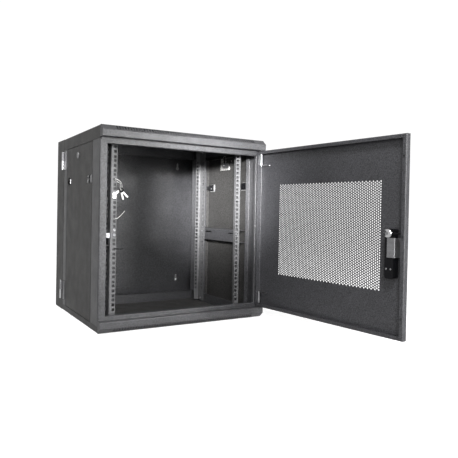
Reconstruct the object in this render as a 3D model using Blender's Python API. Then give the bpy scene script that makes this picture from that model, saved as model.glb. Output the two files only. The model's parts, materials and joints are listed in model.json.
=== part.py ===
"""Double-section 19 inch wall cabinet, 12 units high, standing with its front door open.

Row frame: metres, +Z up, +Y to the wall. The origin is the middle of the footprint, on the underside.
Depths are measured back from the plane of the two fascias, and at() turns a depth into a Y value.
The front door is modelled shut and then turned open on its pivot empty, with all that it carries.
"""
import math

import bmesh
import bpy
from mathutils import Matrix, Vector

# ---- driving dimensions -------------------------------------------------------------------------
WIDTH = 0.600
HEIGHT = 0.635
DEPTH = 0.550
BODY_DEPTH = 0.450                 # swinging front section; the rest is the wall section
SHEET = 0.0015                     # frame and shell steel
GAP = 0.0003                       # running gap between pieces that meet
FRONT = -DEPTH / 2
HALF = WIDTH / 2
SEAM = 0.0003                      # half the gap between the two sections

UNIT = 0.04445                     # rack unit
UNITS = 12
HOLE_PITCH = (0.00635, 0.022225, 0.0381)
HOLE_SIDE = 0.0095
HOLE_X = 0.23255                   # half of 465.1 mm, the rail hole spacing
RAIL_BOTTOM = HEIGHT / 2 - UNIT * UNITS / 2
RAIL_X = (0.2255, 0.2465)
RAIL_Z = (0.0085, 0.6265)
RAIL_SHEET = 0.0018
FRONT_RAIL = (0.0783, 0.1213)      # depth of the mounting face, and of the side flange's free edge
REAR_RAIL = (0.3860, 0.3425)
WEB_X = RAIL_X[1] + 0.0005         # inner face of the channels and beams beside the rails
CHANNEL_DEPTH = (0.0400, 0.4470)
CHANNEL_FLANGE = 0.2750
CHANNEL_REACH = 0.0390             # how far the channels' webs come in from the roof and the floor
BEAM_DEPTH = (0.0850, 0.4300)
BEAM_FLANGE = 0.2800
BEAM_Z = (0.2620, 0.3090)
BEAM_SLOT_Z = (0.2925, 0.2975)
BEAM_SLOTS = ((0.1100, 0.1620), (0.2860, 0.3350))
BEAM_SCREW_Z = 0.2945
BEAM_SCREW_DEPTH = {"front": 0.0975, "rear": 0.3590}
BEAM_BORE_R = 0.0026

FASCIA_H = 0.0374
FASCIA_D = 0.0247
CHAMFER_H = 0.0155
CHAMFER_D = 0.0182
FRAME_Y = 0.025                    # depth of the front frame's face
OPENING_X = 0.2755
OPENING_Z = (0.050, 0.579)
REAR_OPENING_X = 0.240
REAR_OPENING_Z = (0.038, 0.5935)
BAND_LOW = 0.0198                  # height of the bottom tray's side band
BAND_HIGH = 0.5937                 # lower edge of the top tray's side band
RETURN_X = 0.283                   # inner edge of the frames' side returns
FRONT_RETURN = 0.0995              # depths where the returns turn in beside the panel
REAR_RETURN = 0.4060
LIP_DEPTH = 0.0135                 # the front frame's lip round its opening
FAN_X = 0.110
FAN_SLOTS = 9
FAN_PITCH = 0.012
FAN_SLOT_HALF = 0.0020
FAN_SLOT_DEPTH = (0.190, 0.290)
PANEL_Y = (0.1002, 0.4053)
PANEL_Z = (0.0208, 0.5927)
PANEL_SHEET = 0.0012
PANEL_RETURN = 0.012

DOOR_AXIS = (0.2895, 0.011)        # x and depth of the door pins
DOOR_OPEN = math.radians(95.75)
DOOR_X = (-0.3000, 0.2985)
DOOR_Y = (0.001, 0.021)
DOOR_Z = (0.0389, 0.5961)
DOOR_LIP = 0.0115
DOOR_PIN_HOLE_R = 0.0034           # in the door's rims, above and below the housings
DOOR_PIN_R = 0.0029
PIN_LEVER_R = 0.0020
PIN_LEVER_END = 0.2420
PIN_Z = {"upper": (0.5415, 0.6060), "lower": (0.0290, 0.0935)}
HOUSING_Z = {"upper": (0.5460, 0.5830), "lower": (0.0520, 0.0890)}
HOUSING_R = 0.0046
HOUSING_BORE_R = 0.0032
HOUSING_WEB = 0.0050
MESH_MARGIN = 0.0080               # by which the punched sheet laps round its window
WINDOW_X = (-0.2135, 0.2020)
WINDOW_Z = (0.1583, 0.4785)
LIP_HOLE_X = (-0.2962, -0.2902)
LIP_HOLE_Z = (0.095, 0.3160, 0.5390)
LIP_HOLE_HALF = 0.0040

SPINDLE = (-0.2568, 0.3275)        # x and height of the handle spindle on the shut door
SPINDLE_R = 0.0045
BARREL_Z = 0.230
BARREL_R = 0.0070
BORE_GAP = 0.0003                  # round clearance between a bore and what turns in it
CASE_HALF = 0.0137
CASE_Z = (0.2035, 0.3403)
CASE_BACK = 0.0260                 # depth of the lock case's inner face
CASE_CORNER = 0.0065
NECK_HALF = 0.0100                 # of the base plate's neck through the door, and its Z ends
NECK_Z = (CASE_Z[0] + 0.0075, CASE_Z[1] - 0.0028)
LOCK_HOLE_GAP = 0.0005             # round the neck
CASE_SCREW_HEAD_R = 0.0029
CASE_SCREW_HEAD = 0.0022
CASE_SCREW_R = 0.0013
CASE_SCREW_BORE_R = 0.0016
CASE_SCREW_Z = 0.2298
CASE_SCREW_X = (-0.0060, 0.0080)   # from the spindle
STRAP_Z = (0.2612, 0.3148)
STRAP_X = (-0.2752, -0.2508)
STRAP_FOOT_X = -0.2805
STRAP_SHEET = 0.0012
CAM_DEPTH = (0.0281, 0.0303)
CAM_ROOT = 0.0100                  # radius of the cam round the spindle
CAM_FINGER = 0.0020                # half height of the finger that reaches behind the frame
CAM_REACH = 0.0370
HUB_R = 0.0125
HUB_DEPTH = (0.0306, 0.0385)
BASE_HALF = 0.0190
BASE_Z = (0.196, 0.349)
BASE_FACE = -0.0040
LEVER_AXIS = -0.0105               # depth of the pin that the handle lever folds on
LEVER_HALF = 0.0110
LEVER_KNUCKLE = 0.0060
LEVER_BORE_R = 0.0021
FORK_HALF = 0.0047                 # slot in the lever round the spindle's flat head
HEAD_HALF = 0.0043
TRUNNION_R = 0.0018
TRUNNION_HALF = 0.0092
LEVER_LENGTH = 0.0820

WALL_LIP_X = (-0.276, 0.276)       # opening inside the wall section's lip
WALL_LIP_Z = (0.022, 0.613)
NOTCH_X = (0.270, 0.290)
REAR_SLOT_X = (0.2785, 0.2900)
HINGE_AXIS = (-0.3058, BODY_DEPTH)
HINGE_LEAF_X = (-0.3020, -HALF - GAP)
WALL_LEAF = (0.4563, 0.4820)       # depths of the leaves, and of the arms that reach the knuckles
WALL_ARM = (0.4510, 0.4600)
BODY_LEAF = (0.4180, 0.4437)
BODY_ARM = (0.4400, 0.4490)
KNUCKLE_R = 0.0050
KNUCKLE_BORE_R = 0.0030
HINGE_PIN_R = 0.0027
HINGE_Z = ((0.522, 0.587), (0.042, 0.107))
SIDE_LOCK = (0.2609, 0.5605)       # depth and height of the side panel locks
SIDE_LATCH_Z = (0.4605, 0.4875)
CATCH_OPENINGS = ((0.1060, 0.1560), (0.3510, 0.3930))
CATCH_PLATES = {"front": (0.1070, 0.1490), "rear": (0.3580, 0.3920)}
CATCH_TONGUES = {"front": (0.1000, 0.1250), "rear": (0.3800, 0.4055)}
CATCH_TAB = 0.0030
TONGUE_MARGIN = 0.0055             # from the plate's edges to the tongue's
LOCK_HOLE_R = 0.0097
BARREL_FLANGE_R = 0.0110
BARREL_STEM_R = 0.0092
BARREL_PROUD = 0.0028
CAM_WIDTH = 0.0170
CAM_LENGTH = 0.0380
HOOK_LENGTH = 0.0445                # of the hooked cam that holds the two sections together
SECTION_LOCK = (0.427, 0.3175)      # depth and height of the lock between the two sections
CAM_SLOT_Z = (0.3080, 0.3630)      # slots that its hooked cam swings through
KEY_DEPTH = 0.0690
TIE_CENTRE = (-0.2255, 0.4680)
TIE_SLOPE = math.radians(36)
TIE_RADIUS = 0.0125
TIE_WIRE = 0.0009
RING_RADIUS = 0.0110
RING_WIRE = 0.0008
RING_TURN = math.radians(-35)      # the ring's plane, turned from front-to-back
KEY_TURN = math.radians(-10)       # the keys' flats, turned from side-to-side
KEY_SHEET = 0.0016
KEY_HOLE_R = 0.0028
KEYHOLE_X = 0.2195
KEYHOLE_R = 0.0075                 # round entry, and the slot that rises from it
KEYHOLE_SLOT = 0.0040
KEYHOLE_RISE = 0.0220
KEYHOLE_Z = (0.073, 0.563)

POWDER_BLACK = ("powder_black", (0.075, 0.075, 0.078), 0.45, 0.0)
SIDE_BLACK = ("side_black", (0.070, 0.066, 0.062), 0.5, 0.0)
RAIL_PAINT = ("rail_paint", (0.20, 0.20, 0.205), 0.45, 0.0)
DOOR_PAINT = ("door_paint", (0.065, 0.065, 0.068), 0.45, 0.0)
ZINC = ("zinc", (0.62, 0.62, 0.64), 0.3, 1.0)
CHROME = ("chrome", (0.80, 0.80, 0.82), 0.15, 1.0)
LOCK_BLACK = ("lock_black", (0.02, 0.02, 0.022), 0.4, 0.0)
KEY_STEEL = ("key_steel", (0.75, 0.75, 0.74), 0.25, 1.0)
TIE_WHITE = ("tie_white", (0.80, 0.80, 0.78), 0.35, 0.0)


def at(depth):
    """Y of a depth behind the fascia plane."""
    return FRONT + depth


# ---- mesh helpers -------------------------------------------------------------------------------
def box(x, depth, z):
    """Box mesh from three (low, high) pairs; the middle one is a pair of depths."""
    mesh = bpy.data.meshes.new("box")
    form = bmesh.new()
    corners = [form.verts.new((px, at(py), pz)) for pz in z for py in depth for px in x]
    quads = ((0, 2, 3, 1), (4, 5, 7, 6), (0, 1, 5, 4), (2, 6, 7, 3), (0, 4, 6, 2), (1, 3, 7, 5))
    for quad in quads:
        form.faces.new([corners[i] for i in quad])
    return finish_mesh(form, mesh)


def finish_mesh(form, mesh):
    """Write a bmesh out with its faces turned outwards."""
    bmesh.ops.recalc_face_normals(form, faces=form.faces)
    form.to_mesh(mesh)
    form.free()
    return mesh


def prism(points, axis, low, high):
    """Extrude a closed outline along X, Y or Z. Points are given in the other two axes, in order."""
    mesh = bpy.data.meshes.new("prism")
    form = bmesh.new()

    def place(point, along):
        if axis == "X":
            return along, at(point[0]), point[1]
        if axis == "Y":
            return point[0], at(along), point[1]
        return point[0], at(point[1]), along

    ends = [[form.verts.new(place(point, along)) for point in points] for along in (low, high)]
    form.faces.new(ends[0])
    form.faces.new(ends[1])
    for i in range(len(points)):
        j = (i + 1) % len(points)
        form.faces.new((ends[0][i], ends[0][j], ends[1][j], ends[1][i]))
    return finish_mesh(form, mesh)


def circle(centre, radius, segments=24):
    """Points of a circle round a centre."""
    steps = [2 * math.pi * (i + 0.5) / segments for i in range(segments)]
    return [(centre[0] + radius * math.cos(a), centre[1] + radius * math.sin(a)) for a in steps]


def rod(axis, centre, radius, low, high, segments=24):
    """Round bar along X, Y or Z."""
    return prism(circle(centre, radius, segments), axis, low, high)


def rounded(x, z, radius, steps=4):
    """Outline of a rectangle with round corners."""
    points = []
    corners = ((x[1], z[1], 0), (x[0], z[1], 1), (x[0], z[0], 2), (x[1], z[0], 3))
    for px, pz, quarter in corners:
        cx = px - math.copysign(radius, px - (x[0] + x[1]) / 2)
        cz = pz - math.copysign(radius, pz - (z[0] + z[1]) / 2)
        for i in range(steps + 1):
            a = math.pi / 2 * (quarter + i / steps)
            points.append((cx + radius * math.cos(a), cz + radius * math.sin(a)))
    return points


def joined(meshes):
    """One mesh that holds several meshes, which stay apart, to cut with."""
    form = bmesh.new()
    for mesh in meshes:
        form.from_mesh(mesh)
    result = bpy.data.meshes.new("joined")
    form.to_mesh(result)
    form.free()
    return result


def boolean(base, other, operation):
    """Apply one exact Boolean and return the new mesh."""
    target = bpy.data.objects.new("target", base)
    tool = bpy.data.objects.new("tool", other)
    for temporary in (target, tool):
        bpy.context.scene.collection.objects.link(temporary)
    modifier = target.modifiers.new("boolean", "BOOLEAN")
    modifier.operation = operation
    modifier.solver = "EXACT"
    modifier.object = tool
    graph = bpy.context.evaluated_depsgraph_get()
    result = bpy.data.meshes.new_from_object(target.evaluated_get(graph))
    bpy.data.objects.remove(target)
    bpy.data.objects.remove(tool)
    return result


def fuse(*meshes):
    """Union of overlapping meshes."""
    result = meshes[0]
    for mesh in meshes[1:]:
        result = boolean(result, mesh, "UNION")
    return result


def cut(mesh, *tools):
    """Take tools that don't touch each other away from a mesh."""
    return boolean(mesh, joined(tools), "DIFFERENCE")


def mirror_x(mesh):
    """Copy of a mesh on the other side of the middle plane."""
    copy = mesh.copy()
    copy.transform(Matrix.Scale(-1, 4, Vector((1, 0, 0))))
    copy.flip_normals()
    return copy


def frame_ring(outer_x, outer_z, inner_x, inner_z, depth):
    """Flat rectangular ring."""
    plate = box(outer_x, depth, outer_z)
    return cut(plate, box(inner_x, (depth[0] - 0.01, depth[1] + 0.01), inner_z))


# ---- objects, bodies and materials --------------------------------------------------------------
def make_material(spec):
    name, colour, roughness, metallic = spec
    found = bpy.data.materials.get(name)
    if found:
        return found
    made = bpy.data.materials.new(name)
    made.use_nodes = True
    shader = made.node_tree.nodes["Principled BSDF"]
    shader.inputs["Base Color"].default_value = (*colour, 1)
    shader.inputs["Roughness"].default_value = roughness
    shader.inputs["Metallic"].default_value = metallic
    made.diffuse_color = (*colour, 1)
    return made


def pivot(name, place, parent=None, turn=(0, 0, 0)):
    """Empty on a joint's axis; place is x, depth, z in the frame with the door shut."""
    empty = bpy.data.objects.new(name, None)
    bpy.context.scene.collection.objects.link(empty)
    point = Vector((place[0], at(place[1]), place[2]))
    empty["home"] = point
    if parent:
        empty.parent = parent
        empty.location = point - Vector(parent["home"])
    else:
        empty.location = point
    empty.rotation_euler = turn
    return empty


def node(name, mesh, spec, body):
    """Name a finished mesh and hang it on its body's pivot."""
    piece = mesh.copy()
    piece.transform(Matrix.Translation(-Vector(body["home"])))
    piece.name = name
    piece.materials.clear()
    piece.materials.append(make_material(spec))
    piece.shade_smooth()
    piece.set_sharp_from_angle(angle=math.radians(30))
    thing = bpy.data.objects.new(name, piece)
    bpy.context.scene.collection.objects.link(thing)
    thing.parent = body
    return thing


# ---- wall section -------------------------------------------------------------------------------
def keyhole(x, z):
    """Cutter for a wall screw: round entry with a slot above it."""
    depth = (DEPTH - 0.01, DEPTH + 0.01)
    entry = rod("Y", (x, z), KEYHOLE_R, depth[0], depth[1], 20)
    slot = prism(rounded((x - KEYHOLE_SLOT, x + KEYHOLE_SLOT), (z - 0.002, z + KEYHOLE_RISE),
                         KEYHOLE_SLOT - 0.0001, 3), "Y", *depth)
    return fuse(entry, slot)


def build_wall_section(body):
    start = BODY_DEPTH + SEAM
    plate = DEPTH - SHEET
    inner_x = (-HALF + SHEET, HALF - SHEET)
    inner_z = (SHEET, HEIGHT - SHEET)
    walls = frame_ring((-HALF, HALF), (0, HEIGHT), inner_x, inner_z, (start, plate - GAP))
    lip = frame_ring((-HALF, HALF), (0, HEIGHT), WALL_LIP_X, WALL_LIP_Z, (start, start + SHEET))
    notch = box(NOTCH_X, (start - 0.01, start + 0.01), CAM_SLOT_Z)
    node("rear_shell", cut(fuse(walls, lip), notch), SIDE_BLACK, body)

    back = box((-HALF, HALF), (plate, DEPTH), (0, HEIGHT))
    holes = [keyhole(x, z) for x in (-KEYHOLE_X, KEYHOLE_X) for z in KEYHOLE_Z]
    node("back_panel", cut(back, *holes), POWDER_BLACK, body)

    for name, (low, high) in zip(("upper", "lower"), HINGE_Z):
        middle = (low + high) / 2
        leaf = box(HINGE_LEAF_X, WALL_LEAF, (low, high))
        arm = box(HINGE_LEAF_X, WALL_ARM, (low, middle - GAP))
        knuckle = rod("Z", HINGE_AXIS, KNUCKLE_R, low, middle - GAP)
        bore = rod("Z", HINGE_AXIS, KNUCKLE_BORE_R, low - 0.01, high + 0.01)
        node(f"wall_hinge_{name}", cut(fuse(leaf, arm, knuckle), bore), CHROME, body)
        pin = rod("Z", HINGE_AXIS, HINGE_PIN_R, low + 0.001, high - 0.001)
        node(f"hinge_pin_{name}", pin, CHROME, body)


# ---- swinging body ------------------------------------------------------------------------------
def tray(plate_z, band_z):
    """Flat plate with a side band on both edges."""
    depth = (FRAME_Y + SHEET + GAP, BODY_DEPTH - SEAM - SHEET - GAP)
    plate = box((-HALF, HALF), depth, plate_z)
    left = box((-HALF, -HALF + SHEET), depth, band_z)
    right = box((HALF - SHEET, HALF), depth, band_z)
    return fuse(plate, left, right)


def top_vents():
    """Cutters for two groups of slots over the fan places."""
    cutters = []
    for side in (-1, 1):
        for i in range(FAN_SLOTS):
            x = side * FAN_X + (i - (FAN_SLOTS - 1) / 2) * FAN_PITCH
            cutters.append(box((x - FAN_SLOT_HALF, x + FAN_SLOT_HALF), FAN_SLOT_DEPTH,
                               (HEIGHT - 0.01, HEIGHT + 0.01)))
    return cutters


def fascia_outline(inset):
    """Section of the top fascia, as depth and height, open at the back when inset."""
    low = HEIGHT - FASCIA_H + inset
    back = FASCIA_D + (0.01 if inset else 0)
    slope = inset * 0.42
    return [(inset, low), (inset, HEIGHT - CHAMFER_H - slope), (CHAMFER_D + slope, HEIGHT - inset),
            (back, HEIGHT - inset), (back, low)]


def build_fascias(body):
    shell = prism(fascia_outline(0), "X", -HALF, HALF)
    hollow = prism(fascia_outline(SHEET), "X", -HALF + SHEET, HALF - SHEET)
    pin_hole = rod("Z", DOOR_AXIS, 0.0035, HEIGHT - FASCIA_H - 0.01, HEIGHT - FASCIA_H + 0.01, 16)
    top = cut(cut(shell, hollow), pin_hole)
    node("top_fascia", top, POWDER_BLACK, body)
    bottom = top.copy()
    bottom.transform(Matrix.Translation((0, 0, HEIGHT)) @ Matrix.Scale(-1, 4, Vector((0, 0, 1))))
    bottom.flip_normals()
    node("bottom_fascia", bottom, POWDER_BLACK, body)


def build_front_frame(body):
    face = (FRAME_Y, FRAME_Y + SHEET)
    ring = frame_ring((-HALF, HALF), (0, HEIGHT), (-OPENING_X, OPENING_X), OPENING_Z, face)
    lip = frame_ring((-OPENING_X - SHEET, OPENING_X + SHEET),
                     (OPENING_Z[0] - SHEET, OPENING_Z[1] + SHEET),
                     (-OPENING_X, OPENING_X), OPENING_Z, (FRAME_Y, FRAME_Y + LIP_DEPTH))
    side_z = (BAND_LOW + 0.0005, BAND_HIGH - 0.0005)
    returns = []
    for side in (-1, 1):
        outer = sorted((side * HALF, side * (HALF - SHEET)))
        flange = sorted((side * HALF, side * RETURN_X))
        returns.append(box(outer, (FRAME_Y, FRONT_RETURN), side_z))
        returns.append(box(flange, (FRONT_RETURN - SHEET, FRONT_RETURN), side_z))
    cam_slot = box((-0.280, -0.270), (FRAME_Y + SHEET, CAM_DEPTH[1] + 0.0040),
                   (SPINDLE[1] - CAM_REACH - 0.0020, SPINDLE[1] + CAM_ROOT + 0.0020))
    node("front_frame", cut(fuse(ring, lip, *returns), cam_slot), POWDER_BLACK, body)


def build_rear_frame(body):
    back = BODY_DEPTH - SEAM
    ring = frame_ring((-HALF, HALF), (0, HEIGHT), (-REAR_OPENING_X, REAR_OPENING_X),
                      REAR_OPENING_Z, (back - SHEET, back))
    side_z = (BAND_LOW + 0.0005, BAND_HIGH - 0.0005)
    returns = []
    for side in (-1, 1):
        outer = sorted((side * HALF, side * (HALF - SHEET)))
        flange = sorted((side * HALF, side * RETURN_X))
        returns.append(box(outer, (REAR_RETURN, back), side_z))
        returns.append(box(flange, (REAR_RETURN, REAR_RETURN + SHEET), side_z))
    slot = box(REAR_SLOT_X, (back - 0.01, back + 0.01), CAM_SLOT_Z)
    barrel_hole = rod("X", SECTION_LOCK, LOCK_HOLE_R, HALF - 0.01, HALF + 0.01)
    node("rear_frame", cut(fuse(ring, *returns), slot, barrel_hole), POWDER_BLACK, body)


def rail_mesh(face, flange_end, screw_depth):
    """Right-hand 19 inch rail: punched mounting flange and a side flange, joined at the bend."""
    inner, outer = RAIL_X
    step = math.copysign(RAIL_SHEET, flange_end - face)
    flange = box((inner, outer), sorted((face, face + step)), RAIL_Z)
    side = box((outer - RAIL_SHEET, outer), sorted((face, flange_end)), RAIL_Z)
    half = HOLE_SIDE / 2
    through = (face - 3 * RAIL_SHEET, face + 3 * RAIL_SHEET)
    holes = []
    for unit in range(UNITS):
        for pitch in HOLE_PITCH:
            z = RAIL_BOTTOM + unit * UNIT + pitch
            holes.append(box((HOLE_X - half, HOLE_X + half), through, (z - half, z + half)))
    return cut(fuse(flange, side), *holes, beam_bore(screw_depth))


def beam_bore(depth):
    """Cutter for a screw between a rail and its mid beam."""
    return rod("X", (depth, BEAM_SCREW_Z), BEAM_BORE_R, RAIL_X[1] - 0.005, RAIL_X[1] + 0.005, 12)


def channel_mesh(z_web, z_flange):
    """Right-hand depth channel that ties the front frame to the rear frame."""
    web = box((WEB_X, WEB_X + SHEET), CHANNEL_DEPTH, z_web)
    flange = box((WEB_X, CHANNEL_FLANGE), CHANNEL_DEPTH, z_flange)
    return fuse(web, flange)


def mid_beam_mesh():
    """Right-hand mid-height channel with a long slot for each rail."""
    low, high = BEAM_Z
    web = box((WEB_X, WEB_X + SHEET), BEAM_DEPTH, BEAM_Z)
    top = box((WEB_X, BEAM_FLANGE), BEAM_DEPTH, (high - SHEET, high))
    bottom = box((WEB_X, BEAM_FLANGE), BEAM_DEPTH, (low, low + SHEET))
    holes = [box((WEB_X - SHEET, WEB_X + 2 * SHEET), reach, BEAM_SLOT_Z) for reach in BEAM_SLOTS]
    bores = [beam_bore(depth) for depth in BEAM_SCREW_DEPTH.values()]
    return cut(fuse(web, top, bottom), *holes, *bores)


def build_racking(body):
    for name, ends in (("front", FRONT_RAIL), ("rear", REAR_RAIL)):
        mesh = rail_mesh(*ends, BEAM_SCREW_DEPTH[name])
        node(f"rail_{name}_right", mesh, RAIL_PAINT, body)
        node(f"rail_{name}_left", mirror_x(mesh), RAIL_PAINT, body)
    roof, floor = HEIGHT - SHEET - GAP, SHEET + GAP
    top = channel_mesh((HEIGHT - CHANNEL_REACH, roof), (roof - SHEET, roof))
    bottom = channel_mesh((floor, CHANNEL_REACH), (floor, floor + SHEET))
    for name, mesh in (("top", top), ("bottom", bottom)):
        node(f"channel_{name}_right", mesh, POWDER_BLACK, body)
        node(f"channel_{name}_left", mirror_x(mesh), POWDER_BLACK, body)
    beam = mid_beam_mesh()
    node("mid_beam_right", beam, POWDER_BLACK, body)
    node("mid_beam_left", mirror_x(beam), POWDER_BLACK, body)
    inside = RAIL_X[1] - RAIL_SHEET
    for name, depth in BEAM_SCREW_DEPTH.items():
        head = rod("X", (depth, BEAM_SCREW_Z), 0.0042, inside - GAP - 0.0028, inside - GAP, 16)
        shank = rod("X", (depth, BEAM_SCREW_Z), BEAM_BORE_R - GAP, inside - 0.0010, WEB_X + 0.0060, 12)
        node(f"beam_screw_{name}", fuse(head, shank), ZINC, body)


def build_body_hinges(body):
    for name, (low, high) in zip(("upper", "lower"), HINGE_Z):
        middle = (low + high) / 2
        leaf = box(HINGE_LEAF_X, BODY_LEAF, (low, high))
        arm = box(HINGE_LEAF_X, BODY_ARM, (middle + GAP, high))
        knuckle = rod("Z", HINGE_AXIS, KNUCKLE_R, middle + GAP, high)
        bore = rod("Z", HINGE_AXIS, KNUCKLE_BORE_R, low - 0.01, high + 0.01)
        node(f"body_hinge_{name}", cut(fuse(leaf, arm, knuckle), bore), ZINC, body)


def build_body(body):
    top = tray((HEIGHT - SHEET, HEIGHT), (BAND_HIGH, HEIGHT))
    node("top_panel", cut(top, *top_vents()), SIDE_BLACK, body)
    node("bottom_panel", tray((0, SHEET), (0, BAND_LOW)), SIDE_BLACK, body)
    build_fascias(body)
    build_front_frame(body)
    build_rear_frame(body)
    build_racking(body)
    build_body_hinges(body)


# ---- side panels, their locks and catches -------------------------------------------------------
def side_panel_mesh():
    """Right-hand lift-off panel: outer sheet with a folded return all round."""
    outer = HALF
    skin = outer - PANEL_SHEET
    shell = box((outer - PANEL_RETURN, outer), PANEL_Y, PANEL_Z)
    inner_y = (PANEL_Y[0] + PANEL_SHEET, PANEL_Y[1] - PANEL_SHEET)
    inner_z = (PANEL_Z[0] + PANEL_SHEET, PANEL_Z[1] - PANEL_SHEET)
    shell = cut(shell, box((outer - PANEL_RETURN - 0.01, skin), inner_y, inner_z))
    through = (skin - 0.003, outer + 0.003)
    low, high = SIDE_LATCH_Z
    openings = [rod("X", SIDE_LOCK, LOCK_HOLE_R, *through)]
    openings += [box(through, opening, (low - 0.001, high + 0.001)) for opening in CATCH_OPENINGS]
    tongue_z = (low + TONGUE_MARGIN - 0.001, high - TONGUE_MARGIN + 0.001)
    slots = [box((outer - 0.0115, outer - 0.0035), (edge - 0.004, edge + 0.004), tongue_z)
             for edge in PANEL_Y]
    return cut(shell, *openings, *slots)


def side_latch_mesh(end):
    """Spring catch behind the panel: slide plate, tongue and upright finger tab."""
    low, high = SIDE_LATCH_Z
    start = CATCH_PLATES[end][0]
    plate = box((HALF - 0.0055, HALF - 0.0020), CATCH_PLATES[end], (low, high))
    tongue = box((HALF - 0.0105, HALF - 0.0045), CATCH_TONGUES[end],
                 (low + TONGUE_MARGIN, high - TONGUE_MARGIN))
    tab = box((HALF - 0.0040, HALF + 0.0018), (start, start + CATCH_TAB), (low, high))
    return fuse(plate, tongue, tab)


def quarter_turn_lock(place, cam_length, hook):
    """Key barrel through a right-hand side sheet, and the cam on its inner end."""
    depth, z = place
    flange = rod("X", place, BARREL_FLANGE_R, HALF + GAP, HALF + BARREL_PROUD)
    stem = rod("X", place, BARREL_STEM_R, HALF - 0.0140, HALF + 0.0015)
    slot = box((HALF + 0.0015, HALF + 0.01), (depth - 0.0008, depth + 0.0008), (z - 0.004, z + 0.004))
    screw = rod("X", place, 0.0030, HALF - 0.0215, HALF - 0.0120, 12)
    barrel = cut(fuse(flange, stem, screw), slot)
    cam_x = (HALF - 0.0175, HALF - 0.0145)
    half = CAM_WIDTH / 2
    outline = rounded((depth - half, depth + half), (z - half, z + cam_length), half - 0.0005, 3)
    cam = prism(outline, "X", *cam_x)
    if hook:
        toe = box(cam_x, (depth + 0.0020, depth + 0.0190), (z + cam_length - 0.007, z + cam_length))
        cam = fuse(cam, toe)
    cam = cut(cam, rod("X", place, 0.0034, cam_x[0] - 0.01, cam_x[1] + 0.01, 12))
    return barrel, cam


def build_sides(panels, locks, latches):
    skin = side_panel_mesh()
    # the cam hangs forward and level when unlocked, and turns up behind the top band
    barrel, cam = quarter_turn_lock(SIDE_LOCK, CAM_LENGTH, False)
    centre = Vector((0, at(SIDE_LOCK[0]), SIDE_LOCK[1]))
    turn = Matrix.Translation(centre) @ Matrix.Rotation(math.radians(90), 4, "X")
    cam.transform(turn @ Matrix.Translation(-centre))
    for side, label in ((-1, "left"), (1, "right")):
        def sided(mesh):
            return mirror_x(mesh) if side < 0 else mesh
        node(f"side_panel_{label}", sided(skin), SIDE_BLACK, panels[label])
        node(f"side_barrel_{label}", sided(barrel), ZINC, locks[label])
        node(f"side_cam_{label}", sided(cam), ZINC, locks[label])
        for end in ("front", "rear"):
            node(f"side_latch_{end}_{label}", sided(side_latch_mesh(end)), LOCK_BLACK, latches[end, label])


def build_section_lock(body):
    barrel, cam = quarter_turn_lock(SECTION_LOCK, HOOK_LENGTH, True)
    node("section_barrel", barrel, ZINC, body)
    node("section_cam", cam, ZINC, body)


# ---- keys ---------------------------------------------------------------------------------------
def ring_mesh(centre, radius, thick, turn, segments=20, sides=8):
    """Closed wire ring in the front-to-back plane, turned and then moved to (x, depth, z)."""
    mesh = bpy.data.meshes.new("ring")
    form = bmesh.new()
    rows = []
    for i in range(segments):
        a = 2 * math.pi * i / segments
        row = []
        for j in range(sides):
            b = 2 * math.pi * j / sides
            reach = radius + thick * math.cos(b)
            row.append(form.verts.new((thick * math.sin(b), reach * math.cos(a), reach * math.sin(a))))
        rows.append(row)
    for i in range(segments):
        for j in range(sides):
            following, beside = (i + 1) % segments, (j + 1) % sides
            form.faces.new((rows[i][j], rows[following][j], rows[following][beside], rows[i][beside]))
    mesh = finish_mesh(form, mesh)
    mesh.transform(Matrix.Translation((centre[0], at(centre[1]), centre[2])) @ turn)
    return mesh


def key_mesh(outlines, hang, slip, lean):
    """Flat key hung by the hole at its outlines' origin.

    slip is its place along the ring's wire, lean its angle from upright as seen from the front.
    """
    thick = (-KEY_SHEET / 2 - FRONT, KEY_SHEET / 2 - FRONT)
    bow, *others = [prism(outline, "Y", *thick) for outline in outlines]
    hole = rod("Y", (0, 0), KEY_HOLE_R, thick[0] - 0.01, thick[1] + 0.01, 12)
    key = cut(fuse(bow, *others), hole)
    key.transform(Matrix.Rotation(math.radians(lean), 4, "Y"))
    key.transform(Matrix.Translation((0, slip, 0)))
    key.transform(Matrix.Rotation(KEY_TURN, 4, "Z"))
    key.transform(Matrix.Translation((hang[0], at(KEY_DEPTH), hang[1])))
    return key


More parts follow.
